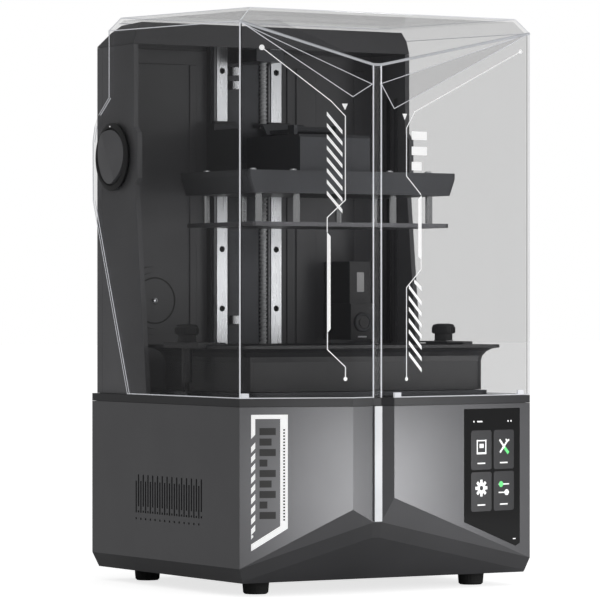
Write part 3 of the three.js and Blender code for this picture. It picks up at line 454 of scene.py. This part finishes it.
def base_badge():
    """White frame with a hatched edge on the left facet, round a plain stack of bars."""
    white = bmesh.new()
    left, right, top, bar = 11.0, 46.0, 167.0, 3.9
    left_inner, right_inner = left + bar, 38.8
    flat_print(white, LEFT_FACET, [(left, top - bar), (right, top - bar), (right, top), (left, top)])
    flat_print(white, LEFT_FACET, [
        (right_inner, 62.8), (right, 60.5), (right, top - bar), (right_inner, top - bar),
    ])
    flat_print(white, LEFT_FACET, [(left, 39.6), (right, 60.5), (right_inner, 62.8), (left, 46.0)])
    flat_print(white, LEFT_FACET, [
        (left, 144.5), (left_inner, 148.5), (left_inner, top - bar), (left, top - bar),
    ])
    hatch(white, LEFT_FACET, left, left_inner, 137.0, 9, 9.6, 5.6, -4.2)
    flat_print(white, LEFT_FACET, [(left, 50.5), (left + 2, 53.0), (left + 2, 54.5), (left, 54.5)])
    add_piece("base_badge_white", white, GLOWING_WHITE_PRINT, "root")
    black = bmesh.new()
    for i, width in enumerate([15.5, 11.5, 15.5, 7.5, 15.5, 11.5, 15.5, 7.5, 15.5]):
        printed_rectangle(black, LEFT_FACET, 19.0, 148.0 - i * 9.8, width, 6.6)
    for i in range(30):  # a row of fine ticks on the right bar of the frame
        printed_rectangle(black, LEFT_FACET, 41.6, 152.0 - i * 2.9, 1.8, 1.5, off=0.16, thick=0.05)
    add_piece("base_badge_black", black, BLACK_PRINT, "root")


def foot_rings():
    """A soft collar round the top of each foot."""
    for name in ["foot_front_left", "foot_front_right", "foot_rear_left", "foot_rear_right"]:
        bm = bmesh.new()
        centre = Vector((middle(name).x, middle(name).y, high(name).z - 2.2 * MM))
        profile = [(0, 0), (13.2 * MM, 0), (13.8 * MM, 0.6 * MM), (13.8 * MM, 1.6 * MM), (0, 1.6 * MM)]
        add_turned(bm, centre, UP, profile, 32)
        add_piece(name + "_collar", bm, SOFT_BLACK, "root")


def rear_fittings():
    """Screws of the fan guard and the back panel, louvres in its recess, and the pins of the inlet."""
    screws = bmesh.new()
    fan = middle("cooling_fan_frame")
    fan_reach = 36 * MM
    for x in (fan.x - fan_reach, fan.x + fan_reach):
        for z in (fan.z - fan_reach, fan.z + fan_reach):
            screw_head(screws, Vector((x, REAR_Y - 2.2 * MM, z)), BACK, 3.0 * MM)
    back_low, back_high = low("housing_back"), high("housing_back")
    for x in (back_low.x + 14 * MM, 0.0, back_high.x - 14 * MM):
        for z in (back_low.z + 12 * MM, back_high.z - 26 * MM):
            screw_head(screws, Vector((x, back_high.y, z)), BACK, 3.2 * MM)
    add_piece("rear_screws", screws, BRUSHED_STEEL, "root")
    louvres = bmesh.new()
    half_width, recess_y = 70 * MM, back_high.y - 2 * MM
    pitch, drop, thick = 6, 121, 2.6  # the lowest louvre is a drop below the top of the back
    for i in range(11):
        z = back_high.z + (i * pitch - drop) * MM
        add_box(
            louvres, (-half_width, recess_y - 0.4 * MM, z),
            (half_width, recess_y + 0.6 * MM, z + thick * MM),
        )
    add_piece("rear_louvres", louvres, SOFT_BLACK, "root")
    pins = bmesh.new()
    inlet = middle("power_inlet")
    for dx, dz in ((-7, -1.5), (7, -1.5), (0, 2.5)):
        place = Vector((inlet.x + dx * MM, REAR_Y - 6 * MM, inlet.z + dz * MM))
        add_box(pins, place - Vector((0.8, 12, 2)) * MM, place + Vector((0.8, 0, 2)) * MM)
    add_piece("inlet_pins", pins, BRUSHED_STEEL, "root")


# ---------------------------------------------------------------- touch screen
SCREEN_OFF = 0.32  # the marks lie just on the glass, which stands a little proud of the facet


def tile(left, bottom):
    """A dark rounded square behind an icon."""
    width, height, cut = 27.6, 38.0, 1.6
    right, top = left + width, bottom + height
    return [
        (left + cut, bottom), (right - cut, bottom), (right, bottom + cut), (right, top - cut),
        (right - cut, top), (left + cut, top), (left, top - cut), (left, bottom + cut),
    ]


def screen_marks():
    """Four tiles with plain icons, a row of status marks above them and a dash below."""
    tiles, white, green = bmesh.new(), bmesh.new(), bmesh.new()
    columns, rows = (101.3, 131.9), (110.6, 70.4)
    off, thin = SCREEN_OFF + 0.10, 0.05

    def rectangle(bm, a, h, width, height):
        printed_rectangle(bm, RIGHT_FACET, a, h, width, height, off, thin)

    for left in columns:
        for bottom in rows:
            flat_print(tiles, RIGHT_FACET, tile(left, bottom), SCREEN_OFF, 0.08)
            rectangle(white, left + 8.5, bottom + 5.5, 10.5, 1.3)
    a, h = columns[0] + 7.5, rows[0] + 15  # a printer: bed, column and head
    for width, height, da, dh in ((13, 1.8, 0, 0), (13, 1.2, 0, 12.5), (1.4, 14, 0, 0), (1.4, 14, 11.6, 0)):
        rectangle(white, a + da, h + dh, width, height)
    rectangle(white, a + 3.8, h + 6, 5.5, 4.0)
    a, h = columns[1] + 7.5, rows[0] + 15  # two crossed tools
    printed_line(white, RIGHT_FACET, [(a + 1, h + 13), (a + 8, h + 5)], 2.2, off, thin)
    printed_line(green, RIGHT_FACET, [(a + 8, h + 5), (a + 12, h + 0.8)], 3.2, off, 0.06)
    printed_line(white, RIGHT_FACET, [(a + 1.5, h + 1.5), (a + 11, h + 12)], 2.0, off, thin)
    claw = [(a + 9.3, h + 13.5), (a + 11, h + 12), (a + 13.2, h + 13.0)]
    printed_line(white, RIGHT_FACET, claw, 1.8, off, thin)
    gear = (columns[0] + 13.8, rows[1] + 22.5)
    for i in range(8):
        angle = i * math.pi / 4
        tip = (gear[0] + 7.2 * math.cos(angle), gear[1] + 7.2 * math.sin(angle))
        printed_line(white, RIGHT_FACET, [gear, tip], 3.0, off, thin)
    printed_dot(white, RIGHT_FACET, gear, 5.4, off, 0.06, 28)
    printed_dot(tiles, RIGHT_FACET, gear, 2.3, off + 0.08, 0.03, 24)
    a, h = columns[1] + 7.0, rows[1] + 17  # two sliders
    for dh, knob, bm in ((8.5, 3.0, green), (0.5, 10.5, white)):
        printed_line(white, RIGHT_FACET, [(a, h + dh), (a + 13.5, h + dh)], 1.2, off, thin)
        printed_dot(bm, RIGHT_FACET, (a + knob, h + dh), 2.9, off, 0.09, 24)
    for place in ((105.0, 157.2), (151.5, 157.0), (155.5, 157.0)):
        printed_dot(white, RIGHT_FACET, place, 0.9, off, thin, 12)
    rectangle(white, 109.5, 156.4, 7, 1.4)
    printed_line(white, RIGHT_FACET, [(158.4, 42.4), (161.6, 42.4)], 1.0, off, thin)
    add_piece("screen_tiles", tiles, glowing("tile_grey", (0.016, 0.016, 0.018), 0.5), "root")
    add_piece("screen_icons", white, glowing("icon_white", (0.85, 0.85, 0.85), 0.55), "root")
    add_piece("screen_accents", green, glowing("icon_green", (0.10, 0.55, 0.16), 0.9), "root")


# ---------------------------------------------------------------- hood
def hood_edges():
    """Polished edges of the hood, taken from the sharp edges of its shell.

    Upright edges carry a glowing painted highlight outside and a strip of painted shade in the inside
    corners, and the folds carry a finer painted highlight.
    """
    bright, fine, dark = bmesh.new(), bmesh.new(), bmesh.new()
    source = bmesh.new()
    source.from_mesh(NODES["hood"].data)
    bmesh.ops.remove_doubles(source, verts=source.verts, dist=1e-5)
    bmesh.ops.dissolve_limit(source, angle_limit=math.radians(1.5), verts=source.verts, edges=source.edges)
    corner_reach, shortest = 1.5 * MM, 14 * MM
    for edge in source.edges:
        if not edge.is_manifold or edge.calc_length() < shortest:
            continue
        turn = edge.calc_face_angle_signed(0.0)
        start, end = (v.co.copy() for v in edge.verts)
        upright = abs((end - start).normalized().z) > 0.99
        by_groove = GROOVE_LEFT_X - corner_reach < start.x < GROOVE_RIGHT_X + corner_reach
        on_groove = by_groove and start.y < FRONT_Y + 9 * MM
        out = sum((face.normal for face in edge.link_faces), Vector()).normalized()
        inside_corner = abs(start.x) > HALF_WIDTH - 6 * MM and start.y < CORNER_Y + 8 * MM
        if upright and turn < 0 and inside_corner:
            target, width = dark, 1.8
        elif upright and (on_groove or (turn > 0 and abs(start.x) > HALF_WIDTH - corner_reach)):
            target, width = bright, 1.3
        elif turn > math.radians(18) and not upright:
            target, width = fine, 0.7
        else:
            continue
        across = (end - start).cross(out)
        sunk = out * (width * MM / 2 * math.tan(abs(turn) / 2) + 0.02 * MM)
        add_bar(target, start - sunk, end - sunk, across, width * MM, -out, 0.5 * MM)
    source.free()
    add_piece("hood_upright_edge_highlights", bright, EDGE_HIGHLIGHT, "hood")
    add_piece("hood_fold_edge_highlights", fine, EDGE_HIGHLIGHT, "hood")
    add_piece("hood_inner_corner_shade", dark, EDGE_SHADE, "hood")


def hood_folds():
    """Painted reflection: the thin facets over the ridges get a denser tint than the rest of the hood, for
    the dark housing mirrored in them.
    """
    shell = NODES["hood"]
    shell.data.materials.append(FOLD_REFLECTION_TINT)
    for face in shell.data.polygons:
        corners = [shell.data.vertices[i].co for i in face.vertices]
        in_prow = max(p.y for p in corners) < CORNER_Y + MM
        if in_prow and face.normal.z > 0.1:
            face.material_index = 1


def hood_valley():
    """A painted highlight: the thick light line, with a faint glow, where the front face folds back over
    the ridges.
    """
    points = [v.co for v in NODES["hood"].data.vertices]
    corner_z = max(p.z for p in points if abs(p.x) > HALF_WIDTH - MM and p.y < CORNER_Y + MM)
    groove_z = max(p.z for p in points if p.y < GROOVE_Y + MM)
    path = [
        Vector((-HALF_WIDTH, CORNER_Y, corner_z)), Vector((GROOVE_LEFT_X, GROOVE_Y, groove_z)),
        Vector((GROOVE_RIGHT_X, GROOVE_Y, groove_z)), Vector((HALF_WIDTH, CORNER_Y, corner_z)),
    ]
    bm = bmesh.new()
    for start, end in zip(path, path[1:]):
        out = (end - start).cross(UP + BACK * 0.4).normalized()
        add_bar(bm, start, end, (end - start).cross(out), 2.4 * MM, -out, 1.2 * MM)
    add_piece("hood_valley_highlight", bm, EDGE_GREY_HIGHLIGHT, "hood")


def hood_graphics():
    """White guide lines with hatching on both facets of the hood."""
    bm = bmesh.new()
    line = 0.9
    printed_line(bm, LEFT_FACET, [
        (21.2, 510.3), (87.5, 460.9), (101.2, 447.0), (101.2, 368.1), (83.8, 351.6), (83.8, 338.0),
    ], line)
    flat_print(bm, LEFT_FACET, [(83.6, 243.0), (87.0, 247.0), (87.0, 334.0), (83.6, 338.0)])
    printed_line(bm, LEFT_FACET, [(84.0, 243.0), (84.0, 227.8), (101.3, 211.4), (101.3, 200.2)], line)
    printed_dot(bm, LEFT_FACET, (21.2, 510.3), 2.6)
    printed_dot(bm, LEFT_FACET, (101.3, 200.2), 1.9)
    hatch(bm, LEFT_FACET, 83.4, 98.4, 451.0, 8, 10.6, 3.8, 17.5)
    flat_print(bm, LEFT_FACET, [(100.9, 452.6), (103.6, 458.6), (97.8, 458.6)])
    printed_line(bm, RIGHT_FACET, [
        (169.0, 516.5), (26.5, 453.1), (15.7, 437.3), (15.7, 391.8), (34.6, 374.7),
    ], line)
    flat_print(bm, RIGHT_FACET, [(31.0, 316.0), (35.4, 312.0), (35.4, 374.0), (31.0, 370.0)])
    printed_line(bm, RIGHT_FACET, [(34.8, 312.0), (34.8, 303.4), (15.7, 286.1), (15.7, 199.5)], line)
    printed_dot(bm, RIGHT_FACET, (169.0, 516.5), 2.4)
    printed_dot(bm, RIGHT_FACET, (15.7, 199.5), 1.9)
    hatch(bm, RIGHT_FACET, 18.8, 35.4, 289.0, 7, 10.6, 3.8, 16.0)
    hatch(bm, RIGHT_FACET, 26.0, 35.4, 294.0, 1, 10.6, 3.8, 7.0)
    flat_print(bm, RIGHT_FACET, [(13.4, 444.8), (16.4, 450.8), (10.4, 450.8)])
    for i, width in enumerate([20.0, 20.0, 13.0]):  # three plain bars in place of lettering
        printed_rectangle(bm, RIGHT_FACET, 22.5, 426.5 - i * 14.5, width, 8.0)
    add_piece("hood_guide_lines", bm, GLOWING_WHITE_PRINT, "hood")


def hood_rim_highlights():
    """Painted highlights: small glowing blocks on the lower rim of the hood, where it meets the deck."""
    bm = bmesh.new()
    width, height = 8.0, 4.5
    right_end = RIGHT_FACET.length / MM - 12.0
    for facet, along in ((LEFT_FACET, 5.0), (RIGHT_FACET, 5.0), (RIGHT_FACET, right_end)):
        start = facet.at(along, (HOOD_LOW - DATUM) / MM + 0.4, -2.6)
        add_bar(bm, start, start + UP * height * MM, facet.run, width * MM, facet.out, 2.5 * MM)
    add_piece("hood_rim_highlights", bm, EDGE_HIGHLIGHT, "hood")


def hinge_ring(name, seat, out, radius):
    """The outer ring of a round hinge cover, which takes the place of the plain cover."""
    bm = bmesh.new()
    add_turned(bm, seat, out, [
        (0, 0), (radius, 0), (radius, 1.1 * MM), (radius - 3 * MM, 2.7 * MM),
        (radius - 5 * MM, 2.7 * MM), (radius - 6 * MM, 1.3 * MM), (0, 1.3 * MM),
    ], 64)
    ring = add_piece(name + "_ring", bm, SOFT_BLACK, "hood")
    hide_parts(name)


def hinge_grip(name, seat, out, radius, depth):
    """The disc inside the ring, folded along a ridge and falling off on both sides of it."""
    bm = bmesh.new()
    grip, sides, ridge = radius - 7 * MM, 64, math.radians(60)
    angles = [2 * math.pi * i / sides for i in range(sides)]
    spokes = [Vector((0, math.cos(a), math.sin(a))) for a in angles]
    fold = Vector((0, math.cos(ridge), math.sin(ridge)))
    drop = depth * 0.7
    heights = [depth - drop * abs(spoke.cross(fold).x) for spoke in spokes]
    outer = [bm.verts.new(seat + spoke * grip + out * h) for spoke, h in zip(spokes, heights)]
    foot = [bm.verts.new(seat + spoke * grip + out * MM) for spoke in spokes]
    top = bm.verts.new(seat + out * depth)
    bottom = bm.verts.new(seat + out * MM)
    for i in range(sides):
        j = (i + 1) % sides
        bm.faces.new((outer[i], outer[j], top))
        bm.faces.new((foot[j], foot[i], bottom))
        bm.faces.new((outer[i], foot[i], foot[j], outer[j]))
    add_piece(name + "_grip", bm, HOUSING_PLASTIC, "hood")


def hinge_pointer(name, seat, out, radius):
    """A small printed triangle at the top of the ring."""
    bm = bmesh.new()
    peak = seat + UP * (radius - 4.6 * MM) + out * 2.72 * MM
    size = 1.6 * MM
    corners = [peak, peak + Vector((0, size, size)), peak + Vector((0, -size, size))]
    add_prism(bm, corners, out * 0.15 * MM)
    add_piece(name + "_pointer", bm, GLOWING_WHITE_PRINT, "hood")


def hinge_covers():
    """The round hinge covers on both sides of the hood."""
    for name, out in (("hinge_cap_left", LEFT), ("hinge_cap_right", RIGHT)):
        depth = high(name).x - low(name).x
        radius = (high(name).z - low(name).z) / 2
        seat = Vector((low(name).x if out.x > 0 else high(name).x, middle(name).y, middle(name).z))
        hinge_ring(name, seat, out, radius)
        hinge_grip(name, seat, out, radius, depth)
        hinge_pointer(name, seat, out, radius)


# ---------------------------------------------------------------- lifting axis
def threaded_screw():
    """A lead screw with a real trapezoid thread, which replaces the plain rod."""
    axis = middle("lead_screw")
    bottom, top = low("lead_screw").z, high("lead_screw").z
    radius = (high("lead_screw").x - low("lead_screw").x) / 2
    root, pitch, steps = radius * 0.74, 4 * MM, 18
    length, run_out = top - bottom, 8 * MM  # the run-out is the plain rod left at each end
    bm = bmesh.new()
    core = Vector((axis.x, axis.y, bottom))
    profile = [(0, 0), (root, 0), (root, length - 6 * MM), (root, length), (0, length)]
    add_turned(bm, core, UP, profile, 24)
    previous = None
    turns = (length - 2 * run_out) / pitch
    count = int(turns * steps)
    for i in range(count + 1):
        angle = 2 * math.pi * i / steps
        spoke = Vector((math.cos(angle), math.sin(angle), 0))
        height = bottom + run_out + pitch * i / steps
        ring = [
            bm.verts.new(Vector((axis.x, axis.y, height + dz * MM)) + spoke * r)
            for r, dz in ((root * 0.97, -1.3), (radius, -0.55), (radius, 0.55), (root * 0.97, 1.3))
        ]
        if previous:
            for a in range(4):
                b = (a + 1) % 4
                bm.faces.new((previous[a], previous[b], ring[b], ring[a]))
        else:
            bm.faces.new(ring)
        previous = ring
    bm.faces.new(previous[::-1])
    screw = add_piece("lead_screw_thread", bm, SATIN_STEEL, "screw")
    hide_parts("lead_screw")


def axis_fittings():
    """Screws down both rails, end caps on the carriages, and the limit sensors beside the screw."""
    heads = bmesh.new()
    socket_head = [
        (0, 0), (3.0 * MM, 0), (3.0 * MM, 1.9 * MM), (1.7 * MM, 2.2 * MM), (1.5 * MM, 0.9 * MM),
        (0, 0.8 * MM),
    ]
    first, pitch = 22, 60  # heights of the screws over the foot of the rail, in millimetres
    for rail in ("rail_left", "rail_right"):
        face = Vector((middle(rail).x, low(rail).y + 3.0 * MM, 0))
        for i in range(6):
            place = face + Vector((0, 0, low(rail).z + (first + i * pitch) * MM))
            add_turned(heads, place, FORWARD, socket_head, 20)
    add_piece("rail_screws", heads, SOFT_BLACK, "root")
    caps = bmesh.new()
    for carriage in ("carriage_left", "carriage_right"):
        lowest, highest = low(carriage), high(carriage)
        for z0, z1 in ((lowest.z - 3 * MM, lowest.z), (highest.z, highest.z + 3 * MM)):
            add_box(
                caps, (lowest.x + MM, lowest.y + 0.8 * MM, z0),
                (highest.x - MM, lowest.y + 6.4 * MM, z1),
            )
    add_piece("carriage_end_caps", caps, DECK_PLASTIC, "platform", 0.5)
    sensors = bmesh.new()
    column_y = low("z_column").y
    for height in (0.250, 0.488, 0.502):
        z = DATUM + height
        add_box(sensors, (-17 * MM, column_y - 4 * MM, z), (-9 * MM, column_y + 4.5 * MM, z + 9 * MM))
    add_piece("limit_sensors", sensors, BRUSHED_STEEL, "root", 0.6)


def plate_posts():
    """The posts between platform block and build plate are polished, unlike the plate."""
    plate = NODES["build_plate"]
    plate.data.materials.append(CHROME)
    plate_top = low("build_plate").z + 4 * MM
    for face in plate.data.polygons:
        if max(plate.data.vertices[i].co.z for i in face.vertices) > plate_top + MM:
            face.material_index = 1


def platform_trim():
    """Socket screws on the platform block."""
    bm = bmesh.new()
    top = high("platform_block").z
    for x in (-0.1, -0.055, 0.055, 0.1):
        for y in (-0.045, 0.045):
            screw_head(bm, Vector((x, y, top)), UP, 3.6 * MM)
    add_piece("platform_screws", bm, BRUSHED_STEEL, "platform")


# ---------------------------------------------------------------- vat, chamber and housing
def ribbed_knob(name, body):
    """A domed thumb screw with grip ribs round its cap."""
    base, top = low(name), high(name)
    axis = middle(name)
    radius = (top.x - base.x) / 2
    bm = bmesh.new()
    neck_low, cap_low = top.z - 17.2 * MM, top.z - 10 * MM
    foot = Vector((axis.x, axis.y, base.z))
    neck, cap, crown = neck_low - base.z, cap_low - base.z, top.z - base.z
    add_turned(bm, foot, UP, [
        (0, 0), (2.4 * MM, 0), (2.4 * MM, neck), (9.6 * MM, neck), (9.0 * MM, neck + 1 * MM),
        (9.0 * MM, cap), (radius - 1.2 * MM, cap), (radius - 0.6 * MM, cap + 0.8 * MM),
        (radius - 0.6 * MM, crown - 2.6 * MM), (radius - 1.8 * MM, crown - 1.0 * MM),
        (radius * 0.5, crown), (0, crown),
    ], 48)
    ribs = 24
    for i in range(ribs):
        angle = 2 * math.pi * i / ribs
        spoke = Vector((math.cos(angle), math.sin(angle), 0))
        start = Vector((axis.x, axis.y, cap_low + 1 * MM)) + spoke * (radius - 1.0 * MM)
        end = start + UP * 5.4 * MM
        add_bar(bm, start, end, spoke.cross(UP), 1.3 * MM, spoke, 1.0 * MM)
    knob = add_piece(name + "_ribbed", bm, SOFT_BLACK, body)
    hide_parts(name)


def vat_details():
    """Level marks on the inside of the vat."""
    level = bmesh.new()
    lowest = low("resin_vat")
    inner_x, start_y = lowest.x + 24.4 * MM, -0.02
    for i in range(6):
        z = lowest.z + (14 + i * 2.4) * MM
        length = (9 if i % 2 == 0 else 5) * MM
        add_box(level, (inner_x, start_y, z), (inner_x + 0.4 * MM, start_y + length, z + 0.5 * MM))
    add_piece("vat_level_marks", level, GLOWING_WHITE_PRINT, "vat")


def filter_details():
    """A ring and a screw on the round filter cover; the black ring is painted shade, standing for a thin
    groove.
    """
    centre = middle("filter_cover")
    face = low("filter_cover").y
    ring = bmesh.new()
    inner, outer = 22 * MM, 23.5 * MM
    profile = [(inner, 0), (outer, 0), (outer, 0.4 * MM), (inner, 0.4 * MM), (inner, 0)]
    add_turned(ring, Vector((centre.x, face, centre.z)), FORWARD, profile, 64)
    bmesh.ops.remove_doubles(ring, verts=ring.verts, dist=1e-6)
    add_piece("filter_groove_shade_ring", ring, SOFT_BLACK, "root")
    screw = bmesh.new()
    screw_head(screw, Vector((centre.x, face, centre.z)), FORWARD, 3.0 * MM)
    add_piece("filter_screw", screw, BRUSHED_STEEL, "root")


def camera_details():
    """A ring round the lens and a pale bar below it."""
    lens = Vector((middle("camera_lens").x, low("camera_body").y, middle("camera_lens").z))
    ring = bmesh.new()
    add_turned(ring, lens, FORWARD, [
        (7.0 * MM, 0), (9.8 * MM, 0), (9.8 * MM, 2.6 * MM), (9.0 * MM, 3.0 * MM), (7.4 * MM, 2.8 * MM),
        (7.0 * MM, 2.4 * MM), (7.0 * MM, 0),
    ], 48)
    bmesh.ops.remove_doubles(ring, verts=ring.verts, dist=1e-6)
    add_piece("camera_lens_ring", ring, ANODISED, "root")
    bar = bmesh.new()
    add_box(bar, (lens.x - 5 * MM, lens.y - 0.5 * MM, lens.z - 15.5 * MM),
            (lens.x + 5 * MM, lens.y + 0.4 * MM, lens.z - 14 * MM))
    add_piece("camera_bar", bar, PALE_TRIM, "root")


def housing_relief():
    """Raised panels on the wall of the rear housing, and thin ribs on the inner faces of its arms."""
    wall_y = low("housing_back").y
    bottom, top = low("housing_back").z + 4 * MM, high("housing_back").z - 14 * MM
    panels = bmesh.new()
    spans = (
        (-0.146, -0.139), (-0.136, -0.064), (-0.061, -0.053),
        (0.053, 0.061), (0.064, 0.088), (0.134, 0.146),
    )
    for x0, x1 in spans:
        add_box(panels, (x0, wall_y - 1.6 * MM, bottom), (x1, wall_y + 0.2 * MM, top))
    add_piece("chamber_wall_panels", panels, HOUSING_PLASTIC, "root", 0.8)
    ribs = bmesh.new()
    left_inner, right_inner = high("housing_arm_left").x, low("housing_arm_right").x
    for x0, x1 in (
        (left_inner - 0.2 * MM, left_inner + 0.7 * MM), (right_inner - 0.7 * MM, right_inner + 0.2 * MM),
    ):
        for y in (0.098, 0.112, 0.126):
            add_box(ribs, (x0, y, bottom + 6 * MM), (x1, y + 7 * MM, top - 30 * MM))
    add_piece("arm_ribs", ribs, DECK_PLASTIC, "root", 0.3)


def deck_details():
    """Screws in the deck at the corners of the mask panel."""
    panel_low, panel_high = low("lcd_mask_panel"), high("lcd_mask_panel")
    margin = 8 * MM
    head = [(0, 0), (2.4 * MM, 0), (2.4 * MM, 0.6 * MM), (0, 0.6 * MM)]
    bm = bmesh.new()
    for x in (panel_low.x - margin, panel_high.x + margin):
        for y in (panel_low.y - margin, panel_high.y + margin):
            add_turned(bm, Vector((x, y, DECK_TOP - 0.2 * MM)), UP, head, 20)
    add_piece("deck_screws", bm, BRUSHED_STEEL, "root")


band_faces()
base_badge()
foot_rings()
rear_fittings()
screen_marks()
hood_edges()
hood_folds()
hood_valley()
hood_graphics()
hood_rim_highlights()
hinge_covers()
threaded_screw()
axis_fittings()
plate_posts()
platform_trim()
ribbed_knob("vat_knob_left", "knob_left")
ribbed_knob("vat_knob_right", "knob_right")
vat_details()
filter_details()
camera_details()
housing_relief()
deck_details()


# ---------------------------------------------------------------- camera, light and floor
def make_camera():
    """Level, from the front left, far off behind a long lens."""
    azimuth = math.radians(-30.9)
    distance, offset, height = 3.772, 0.0175, 0.2736
    ahead = Vector((-math.sin(azimuth), math.cos(azimuth), 0))
    aside = Vector((math.cos(azimuth), math.sin(azimuth), 0))
    data = bpy.data.cameras.new("camera")
    data.sensor_width = 36
    data.lens = 230
    data.shift_y = 5 / 600
    data.clip_end = 50
    camera = bpy.data.objects.new("camera", data)
    camera.location = -ahead * distance - aside * offset + UP * height
    camera.rotation_mode = "QUATERNION"
    camera.rotation_quaternion = ahead.to_track_quat("-Z", "Y")
    bpy.context.scene.collection.objects.link(camera)
    bpy.context.scene.camera = camera


def area_light(name, place, target, size, power):
    data = bpy.data.lights.new(name, "AREA")
    data.shape = "RECTANGLE"
    data.size, data.size_y = size
    data.energy = power
    light = bpy.data.objects.new(name, data)
    light.location = place
    light.rotation_mode = "QUATERNION"
    light.rotation_quaternion = (Vector(target) - Vector(place)).to_track_quat("-Z", "Y")
    light.visible_camera = False
    bpy.context.scene.collection.objects.link(light)


def seen_and_lit(nodes, links, seen, lit):
    """A strength that is one value where the camera looks and another where light is gathered."""
    path = nodes.new("ShaderNodeLightPath")
    made = nodes.new("ShaderNodeMapRange")
    made.inputs["To Min"].default_value = lit
    made.inputs["To Max"].default_value = seen
    links.new(path.outputs["Is Camera Ray"], made.inputs["Value"])
    return made.outputs["Result"]


def make_world():
    """A white backdrop that gives only a soft fill light."""
    world = bpy.data.worlds.new("studio")
    world.use_nodes = True
    nodes, links = world.node_tree.nodes, world.node_tree.links
    background = nodes["Background"]
    background.inputs["Color"].default_value = (1, 1, 1, 1)
    links.new(seen_and_lit(nodes, links, 1.0, 0.34), background.inputs["Strength"])
    bpy.context.scene.world = world


def make_floor():
    bm = bmesh.new()
    bmesh.ops.create_grid(bm, x_segments=2, y_segments=2, size=20)
    floor_mesh = bpy.data.meshes.new("floor")
    bm.to_mesh(floor_mesh)
    bm.free()
    floor = bpy.data.objects.new("floor", floor_mesh)
    material = moulded("floor_white", (0.93, 0.93, 0.93), 0.9, bump=0.0, mottle=0.01)
    nodes, links = material.node_tree.nodes, material.node_tree.links
    shader = nodes["Principled BSDF"]
    shader.inputs["Emission Color"].default_value = (1, 1, 1, 1)
    links.new(seen_and_lit(nodes, links, 0.75, 0.0), shader.inputs["Emission Strength"])
    floor_mesh.materials.append(material)
    bpy.context.scene.collection.objects.link(floor)


def make_lights():
    """Two strips, a soft box and a broad light overhead.

    The strips stand low and close to the prow, and light its facets beside the ridges. The soft box on the
    right is mirrored by what stands square in the chamber.
    """
    strip_z = DECK_TOP / 2
    for name, ridge_x, place, power in (
        ("left_strip", RIDGE_LEFT_X, (-0.10, -0.66), 0.62),
        ("right_strip", RIDGE_RIGHT_X, (0.34, -0.45), 0.55),
    ):
        area_light(name, (*place, strip_z - 0.03), (ridge_x, FRONT_Y, strip_z), (0.07, DECK_TOP), power)
    area_light("soft_box", (0.76, -1.27, 0.34), (0, 0.1, 0.34), (0.36, 0.6), 2.2)
    area_light("top", (0.0, -0.4, 2.2), (0, 0, 0.3), (1.4, 1.0), 4)


make_camera()
make_world()
make_floor()
make_lights()
bpy.context.scene.view_settings.view_transform = "Standard"
